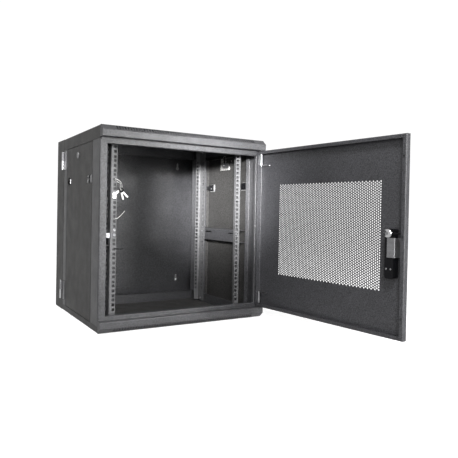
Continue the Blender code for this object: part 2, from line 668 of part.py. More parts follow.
def build_keys(body):
    """Tie through a rail hole and round the rail's edge, ring hanging in the tie, keys on the ring."""
    x, z = TIE_CENTRE
    slope = Matrix.Rotation(TIE_SLOPE - math.pi / 2, 4, "Y")
    tie = ring_mesh((x, KEY_DEPTH, z), TIE_RADIUS, TIE_WIRE, slope)
    node("key_tie", tie, TIE_WHITE, body)
    low_x = x + TIE_RADIUS * math.cos(TIE_SLOPE)
    top = z - TIE_RADIUS * math.sin(TIE_SLOPE) + TIE_WIRE + RING_WIRE + GAP
    keys = pivot("keys_pivot", (low_x, KEY_DEPTH, top), body)
    middle = top - RING_RADIUS
    turn = Matrix.Rotation(RING_TURN, 4, "Z")
    ring = ring_mesh((low_x, KEY_DEPTH, middle), RING_RADIUS, RING_WIRE, turn)
    node("key_ring", ring, KEY_STEEL, keys)
    bow = rounded((-0.0065, 0.0065), (-0.0085, 0.0045), 0.0055, 4)
    blade = rounded((-0.0025, 0.0025), (-0.0320, -0.0070), 0.0015, 2)
    eye = rounded((-0.0045, 0.0045), (-0.0045, 0.0045), 0.0040, 3)
    neck = [(0.0012, -0.0038), (-0.0165, -0.0160), (-0.0190, -0.0100), (-0.0035, 0.0022)]
    tag = rounded((-0.0262, -0.0140), (-0.0290, -0.0075), 0.0050, 4)
    hang = (low_x, middle - RING_RADIUS)
    for name, outlines, slip, lean in (("key_a", (eye, neck, tag), 0.0028, 0), ("key_b", (bow, blade), 0.0, -13),
                                       ("key_c", (bow, blade), -0.0028, -42)):
        node(name, key_mesh(outlines, hang, slip, lean), KEY_STEEL, keys)


# ---- front door ---------------------------------------------------------------------------------
def door_shell():
    """Outer sheet with a rim all round and a folded lip on three sides."""
    x = DOOR_X
    block = box(x, DOOR_Y, DOOR_Z)
    hollow = box((x[0] + SHEET, x[1] - SHEET), (DOOR_Y[0] + SHEET, DOOR_Y[1] - SHEET),
                 (DOOR_Z[0] + SHEET, DOOR_Z[1] - SHEET))
    mouth = box((x[0] + DOOR_LIP, x[1] - SHEET), (DOOR_Y[1] - 0.005, DOOR_Y[1] + 0.01),
                (DOOR_Z[0] + DOOR_LIP, DOOR_Z[1] - DOOR_LIP))
    window = box(WINDOW_X, (DOOR_Y[0] - 0.01, DOOR_Y[0] + 0.005), WINDOW_Z)
    half = NECK_HALF + LOCK_HOLE_GAP
    lock_hole = box((SPINDLE[0] - half, SPINDLE[0] + half), (DOOR_Y[0] - 0.01, DOOR_Y[0] + 0.005),
                    (NECK_Z[0] - LOCK_HOLE_GAP, NECK_Z[1] + LOCK_HOLE_GAP))
    pins = [rod("Z", DOOR_AXIS, DOOR_PIN_HOLE_R, z - 0.004, z + 0.004, 16) for z in DOOR_Z]
    holes = [box(LIP_HOLE_X, (DOOR_Y[1] - 0.004, DOOR_Y[1] + 0.01), (z - LIP_HOLE_HALF, z + LIP_HOLE_HALF))
             for z in LIP_HOLE_Z]
    shell = cut(block, fuse(hollow, mouth))
    return cut(shell, window, lock_hole, *pins, *holes)


def build_door(body):
    node("door_panel", door_shell(), DOOR_PAINT, body)
    sheet_back = DOOR_Y[0] + SHEET
    grille = box((WINDOW_X[0] - MESH_MARGIN, WINDOW_X[1] + MESH_MARGIN),
                 (sheet_back + GAP, sheet_back + SHEET), (WINDOW_Z[0] - MESH_MARGIN, WINDOW_Z[1] + MESH_MARGIN))
    node("door_mesh", grille, DOOR_PAINT, body)
    for name, (low, high) in HOUSING_Z.items():
        tube = rod("Z", DOOR_AXIS, HOUSING_R, low, high, 16)
        web = box((DOOR_AXIS[0] + 0.002, DOOR_X[1] - SHEET - GAP),
                  (DOOR_AXIS[1] - HOUSING_WEB / 2, DOOR_AXIS[1] + HOUSING_WEB / 2), (low, high))
        bore = rod("Z", DOOR_AXIS, HOUSING_BORE_R, low - 0.01, high + 0.01, 16)
        node(f"hinge_housing_{name}", cut(fuse(tube, web), bore), ZINC, body)


def build_door_pin(name, body, low, high, lever_z):
    """Spring pin with a bent lever that draws it out of the fascia."""
    pin = rod("Z", DOOR_AXIS, DOOR_PIN_R, low, high, 12)
    lever = rod("X", (DOOR_AXIS[1], lever_z), PIN_LEVER_R, PIN_LEVER_END, DOOR_AXIS[0] + 0.001, 12)
    node(name, fuse(pin, lever), CHROME, body)


def build_lock(body):
    """Base plate outside, case and strap inside, with bores for the spindle and the key barrel."""
    x, z = SPINDLE
    plate = prism(rounded((x - BASE_HALF, x + BASE_HALF), BASE_Z, BASE_HALF - 0.0005, 5), "Y",
                  BASE_FACE, DOOR_Y[0] - GAP)
    neck = box((x - NECK_HALF, x + NECK_HALF), (0.0, DOOR_Y[0] + SHEET), NECK_Z)
    spindle_bore = rod("Y", SPINDLE, SPINDLE_R + BORE_GAP, -0.02, 0.05, 20)
    barrel_bore = rod("Y", (x, BARREL_Z), BARREL_R + BORE_GAP, -0.02, 0.0205, 20)
    node("handle_base", cut(fuse(plate, neck), spindle_bore, barrel_bore), LOCK_BLACK, body)

    case = prism(rounded((x - CASE_HALF, x + CASE_HALF), CASE_Z, CASE_CORNER, 4), "Y",
                 DOOR_Y[0] + SHEET + GAP, CASE_BACK)
    screw_x = [x + offset for offset in CASE_SCREW_X]
    screw_bores = [rod("Y", (sx, CASE_SCREW_Z), CASE_SCREW_BORE_R, CASE_BACK - 0.0040, CASE_BACK + 0.01, 10)
                   for sx in screw_x]
    node("lock_case", cut(case, spindle_bore, barrel_bore, *screw_bores), LOCK_BLACK, body)
    for name, sx in zip(("left", "right"), screw_x):
        head = rod("Y", (sx, CASE_SCREW_Z), CASE_SCREW_HEAD_R, CASE_BACK + GAP, CASE_BACK + CASE_SCREW_HEAD, 12)
        shank = rod("Y", (sx, CASE_SCREW_Z), CASE_SCREW_R, CASE_BACK - 0.0035, CASE_BACK + 0.0010, 10)
        node(f"case_screw_{name}", fuse(head, shank), ZINC, body)

    # the strap lies on the case, comes down beside it and ends in a foot on the door sheet
    top = CASE_BACK + GAP + STRAP_SHEET
    floor = DOOR_Y[0] + SHEET + GAP
    wall_x = (STRAP_X[0], STRAP_X[0] + STRAP_SHEET)
    plate = box(STRAP_X, (top - STRAP_SHEET, top), STRAP_Z)
    wall = box(wall_x, (floor, top), STRAP_Z)
    foot = box((STRAP_FOOT_X, wall_x[1]), (floor, floor + STRAP_SHEET), STRAP_Z)
    node("lock_strap", fuse(plate, wall, foot), ZINC, body)


def build_latch(body):
    """Spindle, cam and hub, locked: the cam points to the door's free edge."""
    x, z = SPINDLE
    spindle_bore = rod("Y", SPINDLE, SPINDLE_R + BORE_GAP, 0.01, 0.05, 20)
    shaft = rod("Y", SPINDLE, SPINDLE_R, -0.0060, HUB_DEPTH[1] - 0.0008, 20)
    head = box((x - HEAD_HALF, x + HEAD_HALF), (LEVER_AXIS - 0.0035, -0.0050), (z - HEAD_HALF, z + HEAD_HALF))
    trunnion = rod("X", (LEVER_AXIS, z), TRUNNION_R, x - TRUNNION_HALF, x + TRUNNION_HALF, 12)
    node("latch_spindle", fuse(shaft, head, trunnion), ZINC, body)
    root = rod("Y", SPINDLE, CAM_ROOT, *CAM_DEPTH, 24)
    finger = box((x - CAM_REACH, x - CAM_ROOT / 2), CAM_DEPTH, (z - CAM_FINGER, z + CAM_FINGER))
    node("latch_cam", cut(fuse(root, finger), spindle_bore), LOCK_BLACK, body)
    hub = rod("Y", SPINDLE, HUB_R, *HUB_DEPTH, 24)
    node("cam_nut", cut(hub, spindle_bore), CHROME, body)


def build_lever(body):
    """Swing lever over the base plate, folded down."""
    x, z = SPINDLE
    knuckle = LEVER_KNUCKLE
    outline = [(LEVER_AXIS + knuckle * math.cos(a), z + knuckle * math.sin(a))
               for a in [math.pi * i / 8 for i in range(9)]]
    outline += [(LEVER_AXIS - knuckle, z - LEVER_LENGTH + 0.0040), (LEVER_AXIS - 0.0030, z - LEVER_LENGTH),
                (LEVER_AXIS + knuckle, z - LEVER_LENGTH)]
    lever = prism(outline, "X", x - LEVER_HALF, x + LEVER_HALF)
    slot = box((x - FORK_HALF, x + FORK_HALF), (-0.03, 0.01), (z - 0.0100, z + 0.0200))
    bore = rod("X", (LEVER_AXIS, z), LEVER_BORE_R, x - 0.02, x + 0.02, 12)
    node("handle_lever", cut(cut(lever, slot), bore), LOCK_BLACK, body)


def build_lock_barrel(body):
    stem = rod("Y", (SPINDLE[0], BARREL_Z), BARREL_R, BASE_FACE - 0.0005, 0.0200, 20)
    slot = box((SPINDLE[0] - 0.0007, SPINDLE[0] + 0.0007), (-0.01, -0.0025),
               (BARREL_Z - 0.0040, BARREL_Z + 0.0040))
    node("lock_barrel", cut(stem, slot), CHROME, body)


# ---- assembly -----------------------------------------------------------------------------------
def main():
    for thing in list(bpy.data.objects):
        bpy.data.objects.remove(thing)

    wall = pivot("wall_section_pivot", (0, DEPTH / 2, 0))
    swing = pivot("main_body_pivot", (HINGE_AXIS[0], HINGE_AXIS[1], 0), wall)
    build_wall_section(wall)
    build_body(swing)

    panels, locks, latches = {}, {}, {}
    for side, label in ((-1, "left"), (1, "right")):
        panels[label] = pivot(f"side_panel_{label}_pivot", (side * HALF, SIDE_LOCK[0], 0.3), swing)
        locks[label] = pivot(f"side_lock_{label}_pivot", (side * HALF, *SIDE_LOCK), panels[label])
        for end, depth in (("front", 0.128), ("rear", 0.375)):
            latches[end, label] = pivot(f"side_latch_{end}_{label}_pivot",
                                        (side * HALF, depth, 0.474), panels[label])
    build_sides(panels, locks, latches)
    build_section_lock(pivot("section_lock_pivot", (HALF, *SECTION_LOCK), swing))

    build_keys(swing)

    door = pivot("front_door_pivot", (*DOOR_AXIS, 0), swing, (0, 0, DOOR_OPEN))
    build_door(door)
    for name, (low, high) in PIN_Z.items():
        end, inward = (low, 1) if name == "upper" else (high, -1)
        home = pivot(f"door_pin_{name}_pivot", (*DOOR_AXIS, end), door)
        build_door_pin(f"door_pin_{name}", home, low, high, end + inward * PIN_LEVER_R)
    build_lock(door)
    latch = pivot("latch_pivot", (SPINDLE[0], 0.0, SPINDLE[1]), door)
    build_latch(latch)
    build_lever(pivot("handle_lever_pivot", (SPINDLE[0], LEVER_AXIS, SPINDLE[1]), latch))
    build_lock_barrel(pivot("lock_barrel_pivot", (SPINDLE[0], 0.0, BARREL_Z), door))


main()
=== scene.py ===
"""Looks for the swing-out wall cabinet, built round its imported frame.

Metres, +Z up, +Y to the wall. Depths are measured back from the fascia plane, and at() turns a depth
into a Y value. Pieces of the front door are made as if it were shut and then turned with it.
"""
import json
import math

import bmesh
import bpy
from mathutils import Matrix, Vector


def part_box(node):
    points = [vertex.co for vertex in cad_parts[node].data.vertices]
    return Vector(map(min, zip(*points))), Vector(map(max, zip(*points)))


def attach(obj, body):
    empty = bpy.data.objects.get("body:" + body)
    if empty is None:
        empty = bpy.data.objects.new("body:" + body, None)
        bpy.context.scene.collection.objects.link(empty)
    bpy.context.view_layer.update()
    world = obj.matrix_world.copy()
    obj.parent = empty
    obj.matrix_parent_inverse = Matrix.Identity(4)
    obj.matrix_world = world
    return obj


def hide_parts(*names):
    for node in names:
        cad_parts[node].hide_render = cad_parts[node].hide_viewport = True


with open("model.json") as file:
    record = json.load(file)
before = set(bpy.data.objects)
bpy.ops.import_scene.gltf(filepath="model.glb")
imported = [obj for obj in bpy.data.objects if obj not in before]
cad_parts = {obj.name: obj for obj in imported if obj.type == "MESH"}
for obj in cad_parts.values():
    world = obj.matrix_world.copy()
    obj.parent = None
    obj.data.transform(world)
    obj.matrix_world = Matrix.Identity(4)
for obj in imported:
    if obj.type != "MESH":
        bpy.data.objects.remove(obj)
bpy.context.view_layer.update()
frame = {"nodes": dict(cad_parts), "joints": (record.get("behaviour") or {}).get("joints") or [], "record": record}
nodes = frame["nodes"]
joints = {joint["name"]: joint for joint in frame["joints"]}

# ---- sizes --------------------------------------------------------------------------------------
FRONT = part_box("top_fascia")[0].y
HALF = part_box("back_panel")[1].x
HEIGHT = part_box("rear_shell")[1].z
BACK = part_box("back_panel")[1].y
SHEET = 0.0015
BEND = 0.0012                      # inside radius of a fold
FOLD_STEPS = 4
EASE = 0.0003                      # softened sheared edge

UNIT = 0.04445
UNITS = 12
HOLE_PITCH = (0.00635, 0.022225, 0.0381)
HOLE_SIDE = 0.0095
HOLE_X = 0.23255
RAIL_BOTTOM = HEIGHT / 2 - UNIT * UNITS / 2


def at(depth):
    """Y of a depth behind the fascia plane."""
    return FRONT + depth


def depth_of(y):
    return y - FRONT


# ---- mesh helpers -------------------------------------------------------------------------------
def finish_form(form):
    """Mesh of a bmesh with its faces turned outwards."""
    bmesh.ops.recalc_face_normals(form, faces=form.faces)
    mesh = bpy.data.meshes.new("form")
    form.to_mesh(mesh)
    form.free()
    return mesh


def prism(points, axis, low, high):
    """Extrude a closed outline along X, Y or Z. Points are given in the other two axes, in order."""
    form = bmesh.new()

    def place(point, along):
        if axis == "X":
            return along, at(point[0]), point[1]
        if axis == "Y":
            return point[0], at(along), point[1]
        return point[0], at(point[1]), along

    ends = [[form.verts.new(place(point, along)) for point in points] for along in (low, high)]
    form.faces.new(ends[0])
    form.faces.new(ends[1])
    for i in range(len(points)):
        j = (i + 1) % len(points)
        form.faces.new((ends[0][i], ends[0][j], ends[1][j], ends[1][i]))
    return finish_form(form)


def box(x, depth, z):
    return prism([(x[0], z[0]), (x[1], z[0]), (x[1], z[1]), (x[0], z[1])], "Y", *depth)


def circle(centre, radius, segments=24):
    steps = [2 * math.pi * (i + 0.5) / segments for i in range(segments)]
    return [(centre[0] + radius * math.cos(a), centre[1] + radius * math.sin(a)) for a in steps]


def rod(axis, centre, radius, low, high, segments=24):
    return prism(circle(centre, radius, segments), axis, low, high)


def arc(centre, radius, start, stop, steps):
    """Points of an arc between two angles in radians."""
    angles = [start + (stop - start) * i / steps for i in range(steps + 1)]
    return [(centre[0] + radius * math.cos(a), centre[1] + radius * math.sin(a)) for a in angles]


def filleted(points, radius, steps=3):
    """Closed outline with each corner rounded by the same radius."""
    result = []
    for i, point in enumerate(points):
        here = Vector(point)
        before = (Vector(points[i - 1]) - here).normalized()
        after = (Vector(points[(i + 1) % len(points)]) - here).normalized()
        half = before.angle(after) / 2
        reach = radius / math.tan(half)
        centre = here + (before + after).normalized() * radius / math.sin(half)
        start = here + before * reach - centre
        sweep = start.angle_signed(here + after * reach - centre)
        for k in range(steps + 1):
            turned = start.copy()
            turned.rotate(Matrix.Rotation(-sweep * k / steps, 2))
            result.append(tuple(centre + turned))
    return result


def rectangle(x, z):
    return [(x[0], z[0]), (x[1], z[0]), (x[1], z[1]), (x[0], z[1])]


def joined(meshes):
    """One mesh that holds several meshes, which stay apart."""
    form = bmesh.new()
    for mesh in meshes:
        form.from_mesh(mesh)
    result = bpy.data.meshes.new("joined")
    form.to_mesh(result)
    form.free()
    return result


def boolean(base, other, operation):
    """Apply one exact Boolean and return the new mesh."""
    target = bpy.data.objects.new("target", base)
    tool = bpy.data.objects.new("tool", other)
    for temporary in (target, tool):
        bpy.context.scene.collection.objects.link(temporary)
    modifier = target.modifiers.new("boolean", "BOOLEAN")
    modifier.operation = operation
    modifier.solver = "EXACT"
    modifier.object = tool
    graph = bpy.context.evaluated_depsgraph_get()
    result = bpy.data.meshes.new_from_object(target.evaluated_get(graph))
    result.validate()              # drops a face that the solver has made twice
    bpy.data.objects.remove(target)
    bpy.data.objects.remove(tool)
    return result


def fuse(*meshes):
    result = meshes[0]
    for mesh in meshes[1:]:
        result = boolean(result, mesh, "UNION")
    return result


def cut(mesh, *tools):
    """Take tools that don't touch each other away from a mesh."""
    return boolean(mesh, joined(tools), "DIFFERENCE")


def mirror_x(mesh):
    copy = mesh.copy()
    copy.transform(Matrix.Scale(-1, 4, Vector((1, 0, 0))))
    copy.flip_normals()
    return copy


def mirror_z(mesh):
    """Copy of a mesh turned upside down about mid height."""
    copy = mesh.copy()
    copy.transform(Matrix.Translation((0, 0, HEIGHT)) @ Matrix.Scale(-1, 4, Vector((0, 0, 1))))
    copy.flip_normals()
    return copy


def folded(path, thick=SHEET, bend=BEND, side=1, steps=FOLD_STEPS):
    """Closed outline of a folded sheet. The path is one face; the sheet lies to its left for side 1."""
    path = [Vector(p) for p in path]
    face, far = [], []

    def normal(a, b):
        along = (b - a).normalized()
        return Vector((-along.y, along.x)) * side

    start, end = normal(path[0], path[1]), normal(path[-2], path[-1])
    out = (path[0] - path[1]).normalized()
    face.append(path[0] - out * EASE)
    far.append(path[0] + start * thick - out * EASE)
    first_cap = [path[0] + start * (thick - EASE), path[0] + start * EASE]
    for i in range(1, len(path) - 1):
        one, two = normal(path[i - 1], path[i]), normal(path[i], path[i + 1])
        turn = one.angle_signed(two)
        inward = (turn < 0) == (side > 0)
        radius = bend + thick if inward else bend
        sign = 1 if inward else -1
        centre = path[i] + (one + two).normalized() * sign * radius / math.cos(turn / 2)
        for k in range(steps + 1):
            spoke = one.copy()
            spoke.rotate(Matrix.Rotation(-turn * k / steps, 2))
            face.append(centre - spoke * sign * radius)
            far.append(centre - spoke * (sign * radius - thick))
    out = (path[-1] - path[-2]).normalized()
    face.append(path[-1] - out * EASE)
    far.append(path[-1] + end * thick - out * EASE)
    last_cap = [path[-1] + end * EASE, path[-1] + end * (thick - EASE)]
    return [tuple(p) for p in face + last_cap + far[::-1] + first_cap]


def ring_sweep(sides, sections, place, closed=False):
    """Sweep four matching sections round a rectangle, one on each side, with mitred corners.

    Sections hold (inset, depth) points and come in the order low u, high u, low v, high v. A closed
    sweep has a floor and a lid across its inner edge, and an open one is a frame.
    """
    form = bmesh.new()
    low_u, high_u, low_v, high_v = sides
    rows = []
    for points in zip(*sections):
        inset = [point[0] for point in points]
        depth = points[0][1]
        corners = ((low_u + inset[0], low_v + inset[2]), (high_u - inset[1], low_v + inset[2]),
                   (high_u - inset[1], high_v - inset[3]), (low_u + inset[0], high_v - inset[3]))
        rows.append([form.verts.new(place(u, v, depth)) for u, v in corners])
    count = len(rows)
    last = count - 1 if closed else count
    for i in range(last):
        one, two = rows[i], rows[(i + 1) % count]
        for k in range(4):
            n = (k + 1) % 4
            form.faces.new((one[k], one[n], two[n], two[k]))
    if closed:
        form.faces.new(rows[0])
        form.faces.new(rows[-1])
    return finish_form(form)


def on_xz(u, v, depth):
    return u, at(depth), v


def lathe(profile, segments=32):
    """Turn a (radius, height) profile round +Z; the profile starts and ends on the axis."""
    form = bmesh.new()
    rows = []
    for radius, height in profile:
        if radius < EASE / 10:
            rows.append([form.verts.new((0, 0, height))])
            continue
        angles = [2 * math.pi * i / segments for i in range(segments)]
        rows.append([form.verts.new((radius * math.cos(a), radius * math.sin(a), height)) for a in angles])
    for one, two in zip(rows, rows[1:]):
        for i in range(segments):
            j = (i + 1) % segments
            corners = [one[i % len(one)], one[j % len(one)], two[j % len(two)], two[i % len(two)]]
            form.faces.new(list(dict.fromkeys(corners)))
    return finish_form(form)


def aimed(mesh, place, direction):
    """Take a mesh from the origin to (x, depth, z), with its +Z turned to a direction."""
    turn = Vector(direction).to_track_quat("Z", "Y").to_matrix().to_4x4()
    mesh.transform(Matrix.Translation((place[0], at(place[1]), place[2])) @ turn)
    return mesh


def screw(place, direction, head, height, shank, length):
    """Pan-head screw with a cross recess; its head's underside is at the place."""
    crown = height * 0.75
    profile = [(0, -length), (shank, -length), (shank, 0), (head, 0), (head, height * 0.35),
               (head * 0.93, height * 0.6), (head * 0.75, height * 0.85), (head * 0.4, height), (0, height)]
    arm, half = head * 0.55, head * 0.1
    deep = (height - crown, height * 2)
    bars = [box_at((-arm, arm), (-half, half), deep), box_at((-half, half), (-arm, arm), deep)]
    return aimed(boolean(lathe(profile, 20), fuse(*bars), "DIFFERENCE"), place, direction)


def box_at(x, y, z):
    """Box in plain coordinates, for meshes that are aimed later."""
    return box(x, (y[0] - FRONT, y[1] - FRONT), z)


def softened(mesh, width=0.0003, segments=2):
    """Copy of a mesh with its flats joined up and its sharp edges rounded."""
    form = bmesh.new()
    form.from_mesh(mesh)
    bmesh.ops.remove_doubles(form, verts=form.verts, dist=1e-6)
    bmesh.ops.dissolve_limit(form, angle_limit=math.radians(2), verts=form.verts, edges=form.edges)
    sharp = [e for e in form.edges if len(e.link_faces) == 2 and e.calc_face_angle() > math.radians(35)]
    bmesh.ops.bevel(form, geom=sharp, offset=width, segments=segments, profile=0.5, affect="EDGES",
                    clamp_overlap=True)
    result = bpy.data.meshes.new("softened")
    form.to_mesh(result)
    form.free()
    return result


def tube(points, radius, sides=10, closed=False):
    """Round wire through points given in the row frame."""
    points = [Vector(p) for p in points]
    form = bmesh.new()
    rows = []
    count = len(points)
    guide = Vector((0, 0, 1))
    for i, point in enumerate(points):
        before = points[i - 1] if closed or i else points[i]
        after = points[(i + 1) % count] if closed or i < count - 1 else points[i]
        along = (after - before).normalized()
        across = along.cross(guide)
        if across.length < 0.05:
            across = along.cross(Vector((0, 1, 0)))
        across.normalize()
        up = across.cross(along)
        guide = up
        ring = [2 * math.pi * k / sides for k in range(sides)]
        rows.append([form.verts.new(point + (across * math.cos(a) + up * math.sin(a)) * radius)
                     for a in ring])
    for i in range(count if closed else count - 1):
        one, two = rows[i], rows[(i + 1) % count]
        for k in range(sides):
            n = (k + 1) % sides
            form.faces.new((one[k], one[n], two[n], two[k]))
    if not closed:
        form.faces.new(rows[0])
        form.faces.new(rows[-1])
    return finish_form(form)


# ---- materials ----------------------------------------------------------------------------------
def make_look(name, colour, roughness, metallic=0.0, cloud=(9.0, 0.12), grain=(900.0, 0.0), smear=0.06,
              stretch=(1, 1, 1), fleck=(330.0, 0.0), gloss=0.5):
    """Procedural paint, metal or plastic.

    cloud is the size and depth of slow changes of colour, fleck those of the paint's fine speckle, grain
    the size and height of the relief, smear the change in roughness, and stretch draws all of it out.
    """
    look = bpy.data.materials.new(name)
    look.use_nodes = True
    nodes_of, links = look.node_tree.nodes, look.node_tree.links
    shader = nodes_of["Principled BSDF"]
    spot = nodes_of.new("ShaderNodeTexCoord")
    scaled = nodes_of.new("ShaderNodeMapping")
    scaled.inputs["Scale"].default_value = stretch
    links.new(spot.outputs["Object"], scaled.inputs["Vector"])

    def noise(size, detail):
        made = nodes_of.new("ShaderNodeTexNoise")
        made.inputs["Scale"].default_value = size
        made.inputs["Detail"].default_value = detail
        links.new(scaled.outputs["Vector"], made.inputs["Vector"])
        return made.outputs["Fac"]

    def spread(value, low, high):
        made = nodes_of.new("ShaderNodeMapRange")
        made.inputs["From Min"].default_value = 0.3
        made.inputs["From Max"].default_value = 0.7
        made.inputs["To Min"].default_value = low
        made.inputs["To Max"].default_value = high
        links.new(value, made.inputs["Value"])
        return made.outputs["Result"]

    tone = nodes_of.new("ShaderNodeMath")
    tone.operation = "MULTIPLY"
    links.new(spread(noise(cloud[0], 4), 1 - cloud[1], 1 + cloud[1]), tone.inputs[0])
    links.new(spread(noise(fleck[0], 1), 1 - fleck[1], 1 + fleck[1]), tone.inputs[1])
    mixed = nodes_of.new("ShaderNodeVectorMath")
    mixed.operation = "SCALE"
    mixed.inputs[0].default_value = colour
    links.new(tone.outputs["Value"], mixed.inputs["Scale"])
    links.new(mixed.outputs["Vector"], shader.inputs["Base Color"])
    rough = spread(noise(cloud[0] * 4, 5), roughness - smear, roughness + smear)
    links.new(rough, shader.inputs["Roughness"])
    shader.inputs["Metallic"].default_value = metallic
    shader.inputs["Specular IOR Level"].default_value = gloss
    relief = nodes_of.new("ShaderNodeBump")
    relief.inputs["Strength"].default_value = grain[1]
    relief.inputs["Distance"].default_value = 0.0002
    links.new(noise(grain[0], 2), relief.inputs["Height"])
    links.new(relief.outputs["Normal"], shader.inputs["Normal"])
    return look


PEEL = (700.0, 0.45)               # size and height of the powder coat's texture
FLECK = (330.0, 0.55)              # size and depth of its speckle
ALONG_Z = (1, 1, 6)
looks = {
    "powder_black": make_look("powder_black", (0.043, 0.043, 0.046), 0.36, cloud=(7.0, 0.10), grain=PEEL,
                              fleck=FLECK),
    "door_paint": make_look("door_paint", (0.046, 0.046, 0.050), 0.42, cloud=(6.0, 0.10), grain=PEEL,
                            fleck=FLECK),
    "side_black": make_look("side_black", (0.043, 0.0420, 0.0410), 0.45, cloud=(5.0, 0.16), grain=PEEL,
                            fleck=FLECK, gloss=0.20),
    # rail_paint's grey is over twice as light as powder_black: the rails are painted the same black, and the extra
    # lightness is painted light, standing in for the glare the rails catch
    "rail_paint": make_look("rail_paint", (0.105, 0.105, 0.108), 0.36, cloud=(12.0, 0.08), grain=PEEL,
                            fleck=(330.0, 0.25)),
    "zinc": make_look("zinc", (0.34, 0.34, 0.35), 0.34, 0.90, (40.0, 0.12), (700.0, 0.10), 0.08, ALONG_Z),
    "chrome": make_look("chrome", (0.82, 0.82, 0.83), 0.12, 1.0, (30.0, 0.04), (500.0, 0.03), 0.03),
    "lock_black": make_look("lock_black", (0.005, 0.005, 0.006), 0.34, cloud=(20.0, 0.15),
                            grain=(1500.0, 0.20), gloss=0.18),
    "key_steel": make_look("key_steel", (0.78, 0.77, 0.75), 0.28, 0.65, (60.0, 0.10), (800.0, 0.08), 0.06),
    "tie_white": make_look("tie_white", (0.80, 0.80, 0.78), 0.34, cloud=(30.0, 0.04), grain=(600.0, 0.05)),
    "label_grey": make_look("label_grey", (0.20, 0.20, 0.20), 0.55, cloud=(30.0, 0.08), grain=(600.0, 0.10)),
}


# ---- pieces -------------------------------------------------------------------------------------
def about(point, axis, degrees):
    """Turn about an axis through a point of the row frame."""
    centre = Vector(point)
    turn = Matrix.Rotation(math.radians(degrees), 4, axis)
    return Matrix.Translation(centre) @ turn @ Matrix.Translation(-centre)


def piece(name, mesh, look, body, *replaced, turn=None, slot=None):
    """Show a mesh as a piece of a body, in place of the CAD nodes that it is the final form of.

    The slot, the record's material for a look that isn't one of the record's own, is not used.
    """
    if turn:
        mesh.transform(turn)
    thing = bpy.data.objects.new(name, mesh)
    bpy.context.scene.collection.objects.link(thing)
    mesh.materials.clear()
    mesh.materials.append(looks[look])
    mesh.shade_smooth()
    mesh.set_sharp_from_angle(angle=math.radians(38))
    thing.modifiers.new("flats", "WEIGHTED_NORMAL").keep_sharp = True
    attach(thing, body)
    if replaced:
        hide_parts(*replaced)
    return thing


slots = {row["node"]: row["material_slot"] for row in frame["record"]["subparts"]}
body_of_node = {node: body for body, members in frame["record"]["behaviour"]["bodies"].items()
                for node in members}
remade = set()


def remake(node, mesh, turn=None):
    """Give a CAD node its final form."""
    remade.add(node)
    return piece(f"{node}_form", mesh, slots[node], body_of_node[node], node, turn=turn)


def both_sides(name, mesh):
    """A right-hand node and its mirrored left-hand one."""
    remake(f"{name}_right", mesh)
    remake(f"{name}_left", mirror_x(mesh))


# ---- wall section -------------------------------------------------------------------------------
BODY_DEPTH = 0.450
SEAM = 0.0003
GAP = 0.0003
HINGE_Z = ((0.522, 0.587), (0.042, 0.107))
HINGE_SCREW = (0.0036, 0.0014, 0.0016)    # head radius and height, and shank radius
HINGE_SCREW_PLACE = (-0.3020, 0.4725)
CAM_SLOT_Z = (0.3080, 0.3630)
KEYHOLE_X = 0.2195
KEYHOLE_Z = (0.073, 0.563)
KEYHOLE_R = 0.0072                 # of the grey cover, just inside the keyhole
KEYHOLE_SLOT = 0.0038
KEYHOLE_RISE = 0.0216
SHELL_LIPS = (0.024, 0.024, 0.022, 0.022)
CLEAR = 0.01                       # how far a cutter stands out of a sheet


def keyhole_cover(x, z, peep):
    """Thin grey cover that lies inside a keyhole; a lower one has a small hole in it."""
    depth = (depth_of(BACK) - 0.0012, depth_of(BACK) - 0.0002)
    outline = filleted(rectangle((x - KEYHOLE_SLOT, x + KEYHOLE_SLOT), (z, z + KEYHOLE_RISE)), 0.0036)
    cover = fuse(rod("Y", (x, z), KEYHOLE_R, *depth), prism(outline, "Y", *depth))
    if peep:
        cover = cut(cover, rod("Y", (x, z - 0.0005), 0.0024, depth[0] - CLEAR, depth[1] + CLEAR, 16))
    return cover


def wall_section():
    start, plate = BODY_DEPTH + SEAM, depth_of(BACK) - SHEET - GAP
    sections = [folded([(lip, start), (0, start), (0, plate)], side=-1) for lip in SHELL_LIPS]
    shell = ring_sweep((-HALF, HALF, 0, HEIGHT), sections, on_xz)
    notch = box((0.270, 0.290), (start - CLEAR, start + CLEAR), CAM_SLOT_Z)
    remake("rear_shell", cut(shell, notch))
    remake("back_panel", softened(nodes["back_panel"].data, 0.0004))
    for side, label in ((-1, "left"), (1, "right")):
        for z, level in zip(KEYHOLE_Z, ("low", "high")):
            cover = keyhole_cover(side * KEYHOLE_X, z, level == "low")
            piece(f"keyhole_cover_{label}_{level}", cover, "label_grey", "wall_section", slot="lock_black")
    for name, (low, high) in zip(("upper", "lower"), HINGE_Z):
        remake(f"wall_hinge_{name}", softened(nodes[f"wall_hinge_{name}"].data))
        remake(f"hinge_pin_{name}", softened(nodes[f"hinge_pin_{name}"].data, 0.0006))
        remake(f"body_hinge_{name}", softened(nodes[f"body_hinge_{name}"].data))
        for end in (low + 0.010, high - 0.010):
            head = screw((*HINGE_SCREW_PLACE, end), (-1, 0, 0), *HINGE_SCREW, 0.003)
            piece(f"wall_hinge_screw_{name}_{round(end * 1000)}", head, "chrome", "wall_section")


